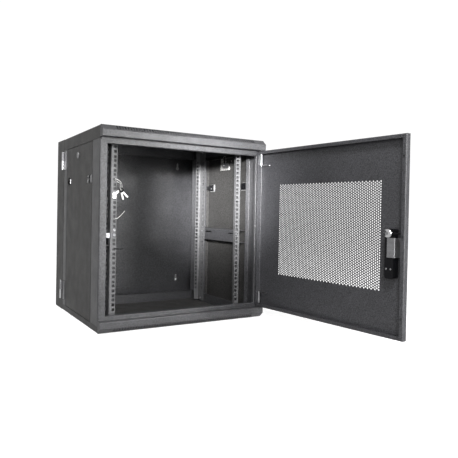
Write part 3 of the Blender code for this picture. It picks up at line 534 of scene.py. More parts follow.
# ---- sheet metal of the swinging body -----------------------------------------------------------
FRAME_Y = 0.025
OPENING_X = 0.2755
OPENING_Z = (0.050, 0.579)
REAR_OPENING_X = 0.240
REAR_OPENING_Z = (0.038, 0.5935)
BAND_LOW = 0.0198
BAND_HIGH = 0.5937
FASCIA_H = 0.0374
FASCIA_D = 0.0247
CHAMFER_H = 0.0155
CHAMFER_D = 0.0182
DOOR_AXIS = (0.2895, 0.011)
SECTION_LOCK = (0.427, 0.3175)
LOCK_HOLE_R = 0.0097
RETURN_X = 0.283
POST_BEND = 0.0035
FRONT_LIP = 0.0135
REAR_LIP = 0.0050
FRONT_RETURN = 0.0995              # depths at which the posts' side returns end
REAR_RETURN = 0.4060
FAN_X = 0.110
FAN_PITCH = 0.012
FAN_SLOTS = 9
FAN_SLOT_HALF = 0.002
FAN_DEPTH = (0.190, 0.290)
VENT_X = (0.224, 0.286)
VENT_FIRST = 0.177
VENT_PITCH = 0.010
VENT_ROWS = 20
VENT_HALF = 0.0019
AIR_FIRST = -0.252                 # slots along the fascias' chamfers
AIR_PITCH = 0.009
AIR_SLOTS = 57
AIR_HALF = 0.0025
AIR_REACH = (0.0035, 0.0205)


def slot_outline(x, y, steps=3):
    """Outline of a round-ended slot; the longer way is y."""
    return filleted(rectangle(x, y), (x[1] - x[0]) * 0.49, steps)


def trays():
    """Top and bottom sheets with their side bands and air slots."""
    depth = (FRAME_Y + SHEET + GAP, BODY_DEPTH - SEAM - SHEET - GAP)
    roof = [(-HALF, BAND_HIGH), (-HALF, HEIGHT), (HALF, HEIGHT), (HALF, BAND_HIGH)]
    floor = [(HALF, BAND_LOW), (HALF, 0), (-HALF, 0), (-HALF, BAND_LOW)]
    middles = [side * FAN_X + (i - FAN_SLOTS // 2) * FAN_PITCH for side in (-1, 1) for i in range(FAN_SLOTS)]
    fan_slots = [prism(slot_outline((x - FAN_SLOT_HALF, x + FAN_SLOT_HALF), FAN_DEPTH), "Z", HEIGHT - CLEAR,
                       HEIGHT + CLEAR) for x in middles]
    vents = []
    for side in (-1, 1):
        across = sorted((side * VENT_X[0], side * VENT_X[1]))
        for row in range(VENT_ROWS):
            middle = VENT_FIRST + row * VENT_PITCH
            outline = filleted(rectangle(across, (middle - VENT_HALF, middle + VENT_HALF)), 0.0018)
            vents.append(prism(outline, "Z", -CLEAR, CLEAR))
    remake("top_panel", cut(prism(folded(roof, side=-1), "Y", *depth), *fan_slots))
    remake("bottom_panel", cut(prism(folded(floor, side=-1), "Y", *depth), *vents))


def fascias():
    """Folded fascia, shut at both ends, with a row of slots through its chamfer."""
    low = HEIGHT - FASCIA_H
    path = [(FASCIA_D, low), (0, low), (0, HEIGHT - CHAMFER_H), (CHAMFER_D, HEIGHT), (FASCIA_D, HEIGHT)]
    wrap = prism(folded(path, bend=0.0009, side=-1), "X", -HALF + 0.0001, HALF - 0.0001)
    end = filleted([(FASCIA_D, low), (0, low), (0, HEIGHT - CHAMFER_H), (CHAMFER_D, HEIGHT),
                    (FASCIA_D, HEIGHT)], 0.0009)
    ends = [prism(end, "X", *sorted((side * HALF, side * (HALF - SHEET)))) for side in (-1, 1)]
    shell = fuse(wrap, *ends)
    pin_hole = rod("Z", DOOR_AXIS, 0.0035, low - CLEAR, low + CLEAR, 20)
    slope = Vector((CHAMFER_D, CHAMFER_H)).normalized()
    across = Vector((-slope.y, slope.x)) * 0.004
    first, last = [Vector((0, HEIGHT - CHAMFER_H)) + slope * reach for reach in AIR_REACH]
    outline = [first - across, last - across, last + across, first + across]
    middles = [AIR_FIRST + i * AIR_PITCH for i in range(AIR_SLOTS)]
    air_slots = [prism(outline, "X", x - AIR_HALF, x + AIR_HALF) for x in middles]
    top = cut(shell, pin_hole, *air_slots)
    remake("top_fascia", top)
    remake("bottom_fascia", mirror_z(top))


def post_return(near, far, edge):
    """Side return of a frame: out from the frame's plane, round to the side, and in again."""
    z = (BAND_LOW + 0.0005, BAND_HIGH - 0.0005)
    way = 1 if far > near else -1
    path = [(edge, near), (HALF, near), (HALF, far), (RETURN_X, far)]
    outline = folded(path, bend=POST_BEND - SHEET, side=way)
    right = prism(outline, "Z", *z)
    return right, mirror_x(right)


def frames():
    edge = HALF - POST_BEND - 0.0002
    outer = (-edge, edge, 0.0, HEIGHT)
    insets = (edge - OPENING_X, edge - OPENING_X, OPENING_Z[0], HEIGHT - OPENING_Z[1])
    # the front frame's lip turns back round the opening, away from its face
    sections = [folded([(0, FRAME_Y), (inset, FRAME_Y), (inset, FRAME_Y + FRONT_LIP)]) for inset in insets]
    ring = ring_sweep(outer, sections, on_xz)
    cam_slot = box((-0.280, -0.270), (FRAME_Y + SHEET, 0.0343), (SPINDLE[1] - 0.0390, SPINDLE[1] + 0.0120))
    returns = post_return(FRAME_Y, FRONT_RETURN, edge - 0.0002)
    remake("front_frame", cut(fuse(ring, *returns), cam_slot))

    back = BODY_DEPTH - SEAM
    insets = (edge - REAR_OPENING_X, edge - REAR_OPENING_X, REAR_OPENING_Z[0], HEIGHT - REAR_OPENING_Z[1])
    sections = [folded([(0, back), (inset, back), (inset, back - REAR_LIP)], side=-1) for inset in insets]
    ring = ring_sweep(outer, sections, on_xz)
    slot = box((0.2785, 0.2900), (back - CLEAR, back + CLEAR), CAM_SLOT_Z)
    barrel_hole = rod("X", SECTION_LOCK, LOCK_HOLE_R, HALF - CLEAR, HALF + CLEAR)
    returns = post_return(back, REAR_RETURN, edge - 0.0002)
    remake("rear_frame", cut(fuse(ring, *returns), slot, barrel_hole))


# ---- racking ------------------------------------------------------------------------------------
RAIL_Z = (0.0085, 0.6265)
RAIL_X = (0.2255, 0.2465)
RAIL_SHEET = 0.0018
RAIL_FACES = {"front": (0.0783, 0.1213), "rear": (0.3860, 0.3425)}
WEB_X = RAIL_X[1] + 0.0005
CHANNEL_DEPTH = (0.0400, 0.4470)
CHANNEL_FLANGE = 0.2750
CHANNEL_REACH = 0.0390
BEAM_DEPTH = (0.0850, 0.4300)
BEAM_FLANGE = 0.2800
BEAM_Z = (0.2620, 0.3090)
BEAM_SLOT_Z = (0.2925, 0.2975)
BEAM_SLOTS = ((0.1100, 0.1620), (0.2860, 0.3350))
BEAM_SCREW_Z = 0.2945
BEAM_SCREW_DEPTH = {"front": 0.0975, "rear": 0.3590}
RAIL_SCREW = (0.0042, 0.0027, 0.0023)
RAIL_SCREW_Z = (0.0170, 0.6180)
THROUGH_WEB = (RAIL_X[1] - 0.006, RAIL_X[1] + 0.006)
ADJUST_MIDDLE = 0.0290             # row of small square holes in a rail's side flange
ADJUST_HALF = 0.0038


def beam_bore(depth):
    return rod("X", (depth, BEAM_SCREW_Z), 0.0026, *THROUGH_WEB, 16)


def rail(face, flange_end, screw_depth):
    """Right-hand rail, folded to an L, with square holes through both flanges."""
    way = 1 if flange_end > face else -1
    path = [(RAIL_X[0], face), (RAIL_X[1], face), (RAIL_X[1], flange_end)]
    body = prism(folded(path, RAIL_SHEET, side=way), "Z", *RAIL_Z)
    half = HOLE_SIDE / 2
    through = sorted((face - way * 0.005, face + way * 0.0055))
    middle = face + way * ADJUST_MIDDLE
    spots = (middle - ADJUST_HALF, middle + ADJUST_HALF)
    holes = [beam_bore(screw_depth)]
    for unit in range(UNITS):
        for pitch in HOLE_PITCH:
            z = RAIL_BOTTOM + unit * UNIT + pitch
            holes.append(box((HOLE_X - half, HOLE_X + half), through, (z - half, z + half)))
            if abs(z - BEAM_SCREW_Z) > 0.012:
                holes.append(box(THROUGH_WEB, spots, (z - ADJUST_HALF, z + ADJUST_HALF)))
    return cut(body, *holes)


def racking():
    for end, faces in RAIL_FACES.items():
        both_sides(f"rail_{end}", rail(*faces, BEAM_SCREW_DEPTH[end]))
    low, high = SHEET + GAP, HEIGHT - SHEET - GAP
    top = folded([(CHANNEL_FLANGE, high), (WEB_X, high), (WEB_X, HEIGHT - CHANNEL_REACH)], side=1)
    bottom = folded([(CHANNEL_FLANGE, low), (WEB_X, low), (WEB_X, CHANNEL_REACH)], side=-1)
    both_sides("channel_top", prism(top, "Y", *CHANNEL_DEPTH))
    both_sides("channel_bottom", prism(bottom, "Y", *CHANNEL_DEPTH))
    path = [(BEAM_FLANGE, BEAM_Z[1]), (WEB_X, BEAM_Z[1]), (WEB_X, BEAM_Z[0]), (BEAM_FLANGE, BEAM_Z[0])]
    beam = prism(folded(path, side=1), "Y", *BEAM_DEPTH)
    holes = [prism(filleted(rectangle(reach, BEAM_SLOT_Z), 0.0024), "X", *THROUGH_WEB)
             for reach in BEAM_SLOTS]
    holes += [beam_bore(depth) for depth in BEAM_SCREW_DEPTH.values()]
    both_sides("mid_beam", cut(beam, *holes))
    inside = RAIL_X[1] - RAIL_SHEET - GAP
    for end, depth in BEAM_SCREW_DEPTH.items():
        head = screw((inside, depth, BEAM_SCREW_Z), (-1, 0, 0), *RAIL_SCREW, 0.0080)
        remake(f"beam_screw_{end}", head)
        piece(f"beam_screw_{end}_left", mirror_x(head), "zinc", "main_body")
        for level in RAIL_SCREW_Z:
            near = RAIL_FACES[end][0] + 0.0210 * (1 if end == "front" else -1)
            head = screw((inside, near, level), (-1, 0, 0), *RAIL_SCREW, 0.0040)
            piece(f"rail_screw_{end}_right_{round(level * 1000)}", head, "zinc", "main_body")
            piece(f"rail_screw_{end}_left_{round(level * 1000)}", mirror_x(head), "zinc", "main_body")


# ---- side panels --------------------------------------------------------------------------------
PANEL_Y = (0.1002, 0.4053)
PANEL_Z = (0.0208, 0.5927)
PANEL_SHEET = 0.0012
PANEL_RETURN = 0.012
SIDE_LOCK = (0.2609, 0.5605)
SIDE_LATCH_Z = (0.4605, 0.4875)
CATCH_OPENINGS = ((0.1060, 0.1560), (0.3510, 0.3930))
CATCH_PLATES = {"front": (0.1070, 0.1490), "rear": (0.3580, 0.3920)}
CATCH_TONGUES = {"front": (0.1000, 0.1250), "rear": (0.3800, 0.4055)}


def on_side(u, v, depth):
    """Place on a right-hand side panel: depth, height, and distance in from the outer face."""
    return HALF - depth, at(u), v


def side_panel():
    """Right-hand lift-off panel with a folded rim, a lock hole and two catch openings."""
    path = [(0.05, 0), (0, 0), (0, PANEL_RETURN)]
    section = folded(path, PANEL_SHEET, 0.0008, side=-1)[1:-3]
    shell = ring_sweep((*PANEL_Y, *PANEL_Z), [section] * 4, on_side, closed=True)
    through = (HALF - 0.004, HALF + 0.003)
    low, high = SIDE_LATCH_Z
    cutters = [rod("X", SIDE_LOCK, LOCK_HOLE_R, *through, 32)]
    for pair in CATCH_OPENINGS:
        cutters.append(prism(filleted(rectangle(pair, (low - 0.001, high + 0.001)), 0.0012), "X", *through))
    tongue = (low + 0.0045, high - 0.0045)
    for reach in ((PANEL_Y[0] - 0.003, PANEL_Y[0] + 0.004), (PANEL_Y[1] - 0.004, PANEL_Y[1] + 0.003)):
        cutters.append(box((HALF - 0.0115, HALF - 0.0035), reach, tongue))
    return cut(shell, *cutters)


def side_catch(end):
    """Right-hand spring catch: a dark slide with a shallow well, and its tongue."""
    low, high = SIDE_LATCH_Z
    start, stop = CATCH_PLATES[end]
    plate = prism(filleted(rectangle((start, stop), (low, high)), 0.0015), "X", HALF - 0.0055, HALF - 0.0035)
    bolt = box((HALF - 0.0105, HALF - 0.0045), CATCH_TONGUES[end], (low + 0.0055, high - 0.0055))
    well = box((HALF - 0.0042, HALF - 0.0030), (start + 0.0070, stop - 0.0060), (low + 0.0040, high - 0.0040))
    return softened(cut(fuse(plate, bolt), well), 0.0003)


def catch_metal(end):
    """Bright parts of a right-hand catch: the upright finger tab, and on a front one the guide rollers."""
    low, high = SIDE_LATCH_Z
    start, stop = CATCH_PLATES[end]
    middle = (low + high) / 2
    width, margin = (0.0028, 0.0010) if end == "front" else (0.0020, 0.0050)
    tab = prism(filleted(rectangle((start, start + width), (low + margin, high - margin)), 0.0008), "X",
                HALF - 0.0060, HALF + 0.0016)
    parts = [softened(tab, 0.0003)]
    if end == "front":
        for along, up, radius in ((0.0150, 0.0050, 0.0030), (0.0150, -0.0050, 0.0030), (0.0240, 0.0, 0.0024)):
            boss = lathe([(0, 0), (radius, 0), (radius, 0.0016), (radius * 0.6, 0.0028), (0, 0.0031)], 24)
            parts.append(aimed(boss, (HALF - 0.0044, start + along, middle + up), (1, 0, 0)))
    inner = lathe([(0, 0), (0.0034, 0), (0.0034, 0.0012), (0.0022, 0.0026), (0, 0.0030)], 24)
    parts.append(aimed(inner, (HALF - 0.0054, (start + stop) / 2, middle - 0.0030), (-1, 0, 0)))
    return joined(parts)


def side_barrel(place):
    """Right-hand key barrel with a raised rim, a key slot and its cam screw."""
    depth, z = place
    shape = lathe([(0, -0.0215), (0.0024, -0.0215), (0.0030, -0.0209), (0.0030, -0.0142), (0.0092, -0.0142),
                   (0.0092, 0.0003), (0.0108, 0.0003), (0.0110, 0.0008), (0.0104, 0.0024), (0.0098, 0.0028),
                   (0.0076, 0.0028), (0.0070, 0.0021), (0, 0.0021)], 40)
    slot = box_at((-0.0045, 0.0045), (-0.0008, 0.0008), (0.0002, 0.01))
    return aimed(cut(shape, slot), (HALF, depth, z), (1, 0, 0))


def lock_hardware():
    """What shows of the lock inside a right-hand side panel: guide, keeper, spring loop and rivet."""
    depth, z = SIDE_LOCK
    guide = prism(filleted(rectangle((depth - 0.020, depth + 0.045), (z - 0.0175, z - 0.0030)), 0.0015), "X",
                  HALF - 0.0045, HALF - 0.0016)
    keeper = prism(filleted(rectangle((depth + 0.021, depth + 0.038), (z - 0.0065, z + 0.0300)), 0.0015), "X",
                   HALF - 0.0066, HALF - 0.0040)
    loop = arc((depth + 0.0115, z + 0.0280), 0.0105, math.pi, 0, 10)
    points = [(HALF - 0.0060, at(depth + 0.0010), z + 0.0080)]
    points += [(HALF - 0.0060, at(a), b) for a, b in loop]
    points.append((HALF - 0.0060, at(depth + 0.0220), z + 0.0200))
    spring = tube(points, 0.0009)
    rivet = aimed(lathe([(0, 0), (0.0040, 0), (0.0036, 0.0014), (0, 0.0022)], 20),
                  (HALF - PANEL_SHEET, depth - 0.0340, z + 0.0175), (-1, 0, 0))
    return joined([softened(guide), softened(keeper), spring, rivet])


def sides():
    both_sides("side_panel", side_panel())
    barrel = side_barrel(SIDE_LOCK)
    both_sides("side_barrel", barrel)
    both_sides("side_cam", softened(nodes["side_cam_right"].data))
    for end in CATCH_PLATES:
        both_sides(f"side_latch_{end}", side_catch(end))
        metal = catch_metal(end)
        piece(f"catch_metal_{end}_right", metal, "zinc", f"catch_{end}_right")
        piece(f"catch_metal_{end}_left", mirror_x(metal), "zinc", f"catch_{end}_left")
    hardware = lock_hardware()
    piece("side_lock_hardware_right", hardware, "key_steel", "panel_right")
    piece("side_lock_hardware_left", mirror_x(hardware), "key_steel", "panel_left")
    remake("section_barrel", side_barrel(SECTION_LOCK))
    remake("section_cam", softened(nodes["section_cam"].data))


# ---- front door ---------------------------------------------------------------------------------
DOOR_SWING = joints["front_door_swing"]
OPEN = about(DOOR_SWING["pos_m"], "Z", -DOOR_SWING["range_deg"][0])
DOOR_X = (-0.3000, 0.2985)
DOOR_Y = (0.001, 0.021)
DOOR_Z = (0.0389, 0.5961)
DOOR_LIP = 0.0115
DOOR_BEND = 0.0020
WINDOW_X = (-0.2135, 0.2020)
WINDOW_Z = (0.1583, 0.4785)
LIP_HOLE_X = (-0.2962, -0.2902)
LIP_HOLE_Z = (0.0973, 0.3173, 0.5355)
LIP_HOLE_HALF = 0.0040
EDGE_HOLES = ((-0.2804, DOOR_Z[1] - 0.0060), (-0.2819, DOOR_Z[0] + 0.0060))
SPINDLE = (-0.2568, 0.3275)
CASE_Z = (0.2035, 0.3403)
CASE_BACK = 0.0260
CASE_SCREW_Z = 0.2298
CASE_SCREW = (0.0029, 0.0019, 0.0013)
LOCK_HOLE_HALF = 0.0105
CASE_SCREW_X = (-0.0060, 0.0080)
STRAP_X = (-0.2752, -0.2508)
STRAP_FOOT_X = -0.2805
STRAP_Z = (0.2612, 0.3148)
STRAP_SHEET = 0.0012
HUB_DEPTH = 0.0306
PUNCH_PITCH = (0.00637, 0.0075)    # between columns, and between holes of one column
PUNCH_RADIUS = 0.0026
PUNCH_SIDES = 12


def door_panel():
    """Door sheet round the window, with its rim and the lip on three sides."""
    front, back = DOOR_Y
    windows = (WINDOW_X[0] - DOOR_X[0], DOOR_X[1] - WINDOW_X[1], WINDOW_Z[0] - DOOR_Z[0],
               DOOR_Z[1] - WINDOW_Z[1])
    hinge_side = SHEET + DOOR_BEND + 0.0002
    sections = []
    for window, lip in zip(windows, (DOOR_LIP, hinge_side, DOOR_LIP, DOOR_LIP)):
        outline = folded([(window, front), (0, front), (0, back), (lip, back)], bend=DOOR_BEND, side=-1)
        # the window's edge is square, so that the punched sheet meets it flush
        outline[0], outline[-1] = (window, front), (window, front + SHEET)
        sections.append(outline[:-2] + [outline[-1]])
    shell = ring_sweep((*DOOR_X, *DOOR_Z), sections, on_xz)
    lock_hole = box((SPINDLE[0] - LOCK_HOLE_HALF, SPINDLE[0] + LOCK_HOLE_HALF),
                    (front - CLEAR, front + 0.005), (CASE_Z[0] + 0.0070, CASE_Z[1] - 0.0023))
    pins = [rod("Z", DOOR_AXIS, 0.0034, z - 0.004, z + 0.004, 20) for z in DOOR_Z]
    through = (back - 0.004, back + CLEAR)
    holes = [prism(filleted(rectangle(LIP_HOLE_X, (z - LIP_HOLE_HALF, z + LIP_HOLE_HALF)), 0.0012), "Y",
                   *through) for z in LIP_HOLE_Z]
    holes += [rod("Y", spot, 0.0018, *through, 16) for spot in EDGE_HOLES]
    return cut(shell, lock_hole, *pins, *holes)


def punched_sheet(x, depth, z, pitch, radius):
    """Sheet that fills a rectangle with round holes in staggered columns."""
    columns, rows = int((x[1] - x[0]) / pitch[0]), int((z[1] - z[0]) / pitch[1])
    left = (x[0] + x[1] - columns * pitch[0]) / 2
    bottom = (z[0] + z[1] - rows * pitch[1]) / 2
    points, faces, index = [], [], {}
    layers = [at(d) for d in depth]
    walk = ((0, 0), (1, 0), (1, 1), (0, 1))

    def corner(column, half_row, layer):
        key = (column, half_row, layer)
        if key not in index:
            index[key] = len(points)
            points.append((left + column * pitch[0], layers[layer], bottom + half_row * pitch[1] / 2))
        return index[key]

    turns = [2 * math.pi * i / PUNCH_SIDES for i in range(PUNCH_SIDES)]
    for column in range(columns):
        start = column % 2
        for row in range(rows - start):
            low = start + 2 * row
            centre = (left + (column + 0.5) * pitch[0], bottom + (low + 1) * pitch[1] / 2)
            rings = []
            for layer in (0, 1):
                first = len(points)
                points.extend((centre[0] + radius * math.cos(a), layers[layer],
                               centre[1] + radius * math.sin(a)) for a in turns)
                ring = list(range(first, first + PUNCH_SIDES))
                rings.append(ring)
                edge = [corner(column + dx, low + dz, layer)
                        for dx, dz in ((1, 1), (1, 2), (0, 2), (0, 1), (0, 0), (1, 0))]
                for k in range(6):
                    span = [ring[(2 * k + step) % PUNCH_SIDES] for step in (2, 1, 0)]
                    face = [edge[k], edge[(k + 1) % 6], *span]
                    faces.append(face if layer == 0 else face[::-1])
            for k in range(PUNCH_SIDES):
                n = (k + 1) % PUNCH_SIDES
                faces.append([rings[0][k], rings[0][n], rings[1][n], rings[1][k]])
        if start:
            for low in (0, 2 * rows - 1):
                for layer in (0, 1):
                    face = [corner(column + dx, low + dz, layer) for dx, dz in walk]
                    faces.append(face if layer == 0 else face[::-1])
    rim = {}
    for layer in (0, 1):
        for i, j in walk:
            rim[i, j, layer] = len(points)
            points.append((x[i], layers[layer], z[j]))
    for layer in (0, 1):
        low_side = [corner(c, 0, layer) for c in range(columns + 1)]
        high_side = [corner(c, 2 * rows, layer) for c in range(columns + 1)]
        left_side = [corner(0, r, layer) for r in range(2 * rows + 1) if (0, r, layer) in index]
        right_side = [corner(columns, r, layer) for r in range(2 * rows + 1)
                      if (columns, r, layer) in index]
        strips = ([rim[0, 0, layer], rim[1, 0, layer], *low_side[::-1]],
                  [rim[1, 0, layer], rim[1, 1, layer], *right_side[::-1]],
                  [rim[1, 1, layer], rim[0, 1, layer], *high_side],
                  [rim[0, 1, layer], rim[0, 0, layer], *left_side])
        faces.extend(strip if layer == 0 else strip[::-1] for strip in strips)
    for k in range(4):
        one, two = walk[k], walk[(k + 1) % 4]
        faces.append([rim[(*one, 0)], rim[(*one, 1)], rim[(*two, 1)], rim[(*two, 0)]])
    mesh = bpy.data.meshes.new("punched")
    mesh.from_pydata(points, [], faces)
    form = bmesh.new()
    form.from_mesh(mesh)
    return finish_form(form)


def handle_parts():
    x, z = SPINDLE
    for name in ("handle_base", "lock_case"):
        remake(name, softened(nodes[name].data, 0.0006, 3))
    for label, offset in zip(("left", "right"), CASE_SCREW_X):
        head = screw((x + offset, CASE_BACK + GAP, CASE_SCREW_Z), (0, 1, 0), *CASE_SCREW, 0.0036)
        remake(f"case_screw_{label}", head, OPEN)
    floor = DOOR_Y[0] + SHEET + GAP
    top = CASE_BACK + GAP + STRAP_SHEET
    path = [(STRAP_FOOT_X, floor + STRAP_SHEET), (STRAP_X[0], floor + STRAP_SHEET), (STRAP_X[0], top),
            (STRAP_X[1], top)]
    strap = prism(folded(path, STRAP_SHEET, 0.0006, side=-1), "Z", *STRAP_Z)
    low, high = STRAP_Z
    across = (STRAP_X[0] + 0.0030, STRAP_X[1] - 0.0005)
    # the brow and the arrow end short of the strip that the cam's finger sweeps when the latch turns
    swept = x - 0.0028
    middle = swept - 0.0040
    band = filleted(rectangle(across, (low + 0.0004, low + 0.0085)), 0.0008)
    brow = filleted(rectangle((across[0], swept), (high - 0.0040, high - 0.0006)), 0.0008)
    arrow = [(middle - 0.0038, high - 0.0060), (middle, high - 0.0170), (middle + 0.0038, high - 0.0060)]
    raised = [softened(prism(outline, "Y", top - 0.0003, top + proud), 0.0005, 3)
              for outline, proud in ((band, 0.0013), (brow, 0.0009), (arrow, 0.0012))]
    remake("lock_strap", joined([strap, *raised]), OPEN)
    remake("latch_spindle", softened(nodes["latch_spindle"].data, 0.0004))
    remake("latch_cam", softened(nodes["latch_cam"].data, 0.0004))
    bore = 0.0048
    dome = lathe([(bore, 0.0), (0.0125, 0.0), (0.0125, 0.0026), (0.0119, 0.0046), (0.0098, 0.0062),
                  (0.0072, 0.0073), (bore, 0.0077), (bore, 0.0)], 40)
    remake("cam_nut", aimed(dome, (x, HUB_DEPTH, z), (0, 1, 0)), OPEN)
    remake("handle_lever", softened(nodes["handle_lever"].data, 0.0012, 3))
    remake("lock_barrel", softened(nodes["lock_barrel"].data, 0.0004))


def front_door():
    remake("door_panel", door_panel(), OPEN)
    sheet = punched_sheet(WINDOW_X, (DOOR_Y[0], DOOR_Y[0] + SHEET), WINDOW_Z, PUNCH_PITCH, PUNCH_RADIUS)
    remake("door_mesh", sheet, OPEN)
    for name in ("upper", "lower"):
        remake(f"hinge_housing_{name}", softened(nodes[f"hinge_housing_{name}"].data, 0.0004))
        remake(f"door_pin_{name}", softened(nodes[f"door_pin_{name}"].data, 0.0006))
    handle_parts()


# ---- keys ---------------------------------------------------------------------------------------
KEY_HANG = (-0.215387, 0.0690, 0.440653)
KEY_TURN = math.radians(-10)
KEY_HEADS = {"key_b": (0.0, -13), "key_c": (-0.0028, -42)}


def key_head(slip, lean):
    """Moulded head over a key's bow, in the place of that key."""
    turns = (Matrix.Translation((KEY_HANG[0], at(KEY_HANG[1]), KEY_HANG[2]))
             @ Matrix.Rotation(KEY_TURN, 4, "Z") @ Matrix.Translation((0, slip, 0))
             @ Matrix.Rotation(math.radians(lean), 4, "Y"))
    outline = filleted(rectangle((-0.0073, 0.0073), (-0.0094, 0.0054)), 0.0058, 5)
    head = prism(outline, "Y", -0.0012 - FRONT, 0.0012 - FRONT)
    head = cut(head, rod("Y", (0, 0), 0.0030, -CLEAR - FRONT, CLEAR - FRONT, 20))
    head = softened(head, 0.0005, 3)
    head.transform(turns)
    return head


def keys():
    for name in ("key_tie", "key_ring", "key_a", "key_b", "key_c"):
        remake(name, softened(nodes[name].data, 0.0002))
    for name, (slip, lean) in KEY_HEADS.items():
        piece(f"{name}_head", key_head(slip, lean), "lock_black", "keys")


# ---- small things on the left front rail --------------------------------------------------------
CLIP_X = (-0.2606, -0.2467)
CLIP_Z = (0.2872, 0.3028)
STUD = (-0.2536, 0.2950)
SPARE_SCREW = (0.0052, 0.0030, 0.0028)
SPARE_UNIT = 5                     # rack unit, from the bottom, that has the two spare screws
TIE_LOOP = 0.0030
TIE_TAILS = {                      # height, look, wire radius, and how far right and up the tail reaches
    "white": (0.3488, "tie_white", 0.0006, (0.0247, 0.0243)),
    "black": (0.2523, "lock_black", 0.0012, (0.0215, -0.0004)),
}


def rail_things():
    """Square clip beside the rail, two screws in its holes, and the tails of two cut cable ties."""
    face = RAIL_FACES["front"][0]
    edge = -RAIL_X[0]
    clip = softened(box(CLIP_X, (face + 0.0010, face + 0.0024), CLIP_Z), 0.0006, 3)
    stud = lathe([(0, 0), (0.0030, 0), (0.0028, 0.0014), (0, 0.0020)], 20)
    stud = aimed(stud, (STUD[0], face + 0.0010, STUD[1]), (0, -1, 0))
    piece("rail_clip", joined([clip, stud]), "zinc", "main_body")
    for row in (0, 1):
        z = RAIL_BOTTOM + SPARE_UNIT * UNIT + HOLE_PITCH[row + 1]
        head = screw((-HOLE_X, face, z), (0, -1, 0), *SPARE_SCREW, 0.0050)
        piece(f"rail_screw_spare_{row}", head, "zinc", "main_body")
    for name, (z, look, radius, tip) in TIE_TAILS.items():
        # the loop goes round the strip between the nearest hole and the rail's inner edge
        loop = [(edge - 0.0012 + TIE_LOOP * math.cos(a), at(face + 0.0009) + TIE_LOOP * math.sin(a), z)
                for a in [2 * math.pi * i / 16 for i in range(16)]]
        start = Vector((edge + 0.0018, at(face - 0.0010), z))
        bow = []
        for t in [i / 10 for i in range(11)]:
            sag = math.sin(math.pi * t)
            bow.append(start + Vector((tip[0] * t, -0.0020 * sag, tip[1] * t - 0.0012 * sag)))
        tie = joined([tube(loop, radius, 8, True), tube(bow, radius, 8)])
        piece(f"cable_tie_{name}", tie, look, "main_body")


wall_section()
trays()
fascias()
frames()
racking()
sides()
front_door()
keys()
rail_things()
for name, node in nodes.items():
    if name not in remade:
        node.data.materials.clear()
        node.data.materials.append(looks[slots[name]])


# ---- stage, light and camera --------------------------------------------------------------------
LIGHT_WAY = math.radians(36)       # azimuth of the light part of the surroundings, from +Y towards +X
LIGHT_EDGE = (0.60, 0.79)          # cosines between which it fades


def stage_floor(glow):
    form = bmesh.new()
    bmesh.ops.create_grid(form, x_segments=1, y_segments=1, size=40)
    ground = bpy.data.objects.new("floor", finish_form(form))
    ground.location.z = -0.0005
    paint = bpy.data.materials.new("floor")
    paint.use_nodes = True
    shader = paint.node_tree.nodes["Principled BSDF"]
    shader.inputs["Base Color"].default_value = (0.92, 0.92, 0.92, 1)
    shader.inputs["Roughness"].default_value = 0.8
    shader.inputs["Emission Color"].default_value = (1, 1, 1, 1)
    shader.inputs["Emission Strength"].default_value = glow
    ground.data.materials.append(paint)
    # the floor is there to stand on and to catch the shadow; it throws no light back up
    ground.visible_diffuse = False
    ground.visible_glossy = False
    bpy.context.scene.collection.objects.link(ground)


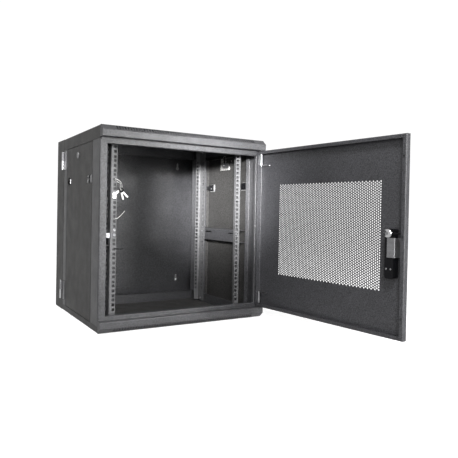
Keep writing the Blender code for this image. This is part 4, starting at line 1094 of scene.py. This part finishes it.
def studio(light, dark):
    """Surroundings that are light towards one azimuth, behind the cabinet, and dimmer all round it."""
    world = bpy.data.worlds.new("studio")
    bpy.context.scene.world = world
    world.use_nodes = True
    nodes_of, links = world.node_tree.nodes, world.node_tree.links
    way = nodes_of.new("ShaderNodeTexCoord")
    facing = nodes_of.new("ShaderNodeVectorMath")
    facing.operation = "DOT_PRODUCT"
    facing.inputs[1].default_value = (math.sin(LIGHT_WAY), math.cos(LIGHT_WAY), 0)
    links.new(way.outputs["Generated"], facing.inputs[0])
    ramp = nodes_of.new("ShaderNodeMapRange")
    ramp.inputs["From Min"].default_value = LIGHT_EDGE[0]
    ramp.inputs["From Max"].default_value = LIGHT_EDGE[1]
    ramp.inputs["To Min"].default_value = dark
    ramp.inputs["To Max"].default_value = light
    links.new(facing.outputs["Value"], ramp.inputs["Value"])
    links.new(ramp.outputs["Result"], nodes_of["Background"].inputs["Strength"])
    nodes_of["Background"].inputs["Color"].default_value = (1, 1, 1, 1)


def hang_lamp(name, lamp, place, target):
    holder = bpy.data.objects.new(name, lamp)
    holder.location = place
    holder.rotation_euler = (Vector(target) - Vector(place)).to_track_quat("-Z", "Y").to_euler()
    bpy.context.scene.collection.objects.link(holder)


def softbox(name, place, target, size, power):
    lamp = bpy.data.lights.new(name, "AREA")
    lamp.shape = "RECTANGLE"
    lamp.size, lamp.size_y = size
    lamp.energy = power
    hang_lamp(name, lamp, place, target)


def soft_spot(name, place, target, degrees, radius, power):
    lamp = bpy.data.lights.new(name, "SPOT")
    lamp.spot_size = math.radians(degrees)
    lamp.spot_blend = 1.0
    lamp.shadow_soft_size = radius
    lamp.energy = power
    hang_lamp(name, lamp, place, target)


stage_floor(0.50)
studio(1.05, 0.50)
softbox("near", (-0.9, -2.4, 0.8), (0.1, 0, 0.3), (0.5, 0.5), 14)
softbox("front", (-0.2, -4.0, 1.0), (0, 0, 0.3), (2.0, 2.0), 30)
softbox("above", (-0.9, -2.2, 2.4), (0.1, -0.2, 0.45), (0.8, 0.8), 75)
softbox("right", (1.35, -3.2, 0.55), (0.05, 0, 0.40), (0.8, 1.2), 70)
soft_spot("beam", (-1.02, -2.2, 0.72), (0.27, 0, 0.43), 12, 0.12, 1850)

camera = bpy.data.objects.new("camera", bpy.data.cameras.new("camera"))
bpy.context.scene.collection.objects.link(camera)
camera.location = (-0.7792, -1.7530, 0.3803)
camera.rotation_euler = (Matrix.Rotation(math.radians(-30.8448), 3, "Z")
                         @ Matrix.Rotation(math.radians(90 - 0.6096), 3, "X")
                         @ Matrix.Rotation(math.radians(1.0805), 3, "Z")).to_euler()
camera.data.lens = 39.88
camera.data.shift_x = 0.0250
camera.data.shift_y = -0.0285
bpy.context.scene.camera = camera
bpy.context.scene.view_settings.view_transform = "Standard"
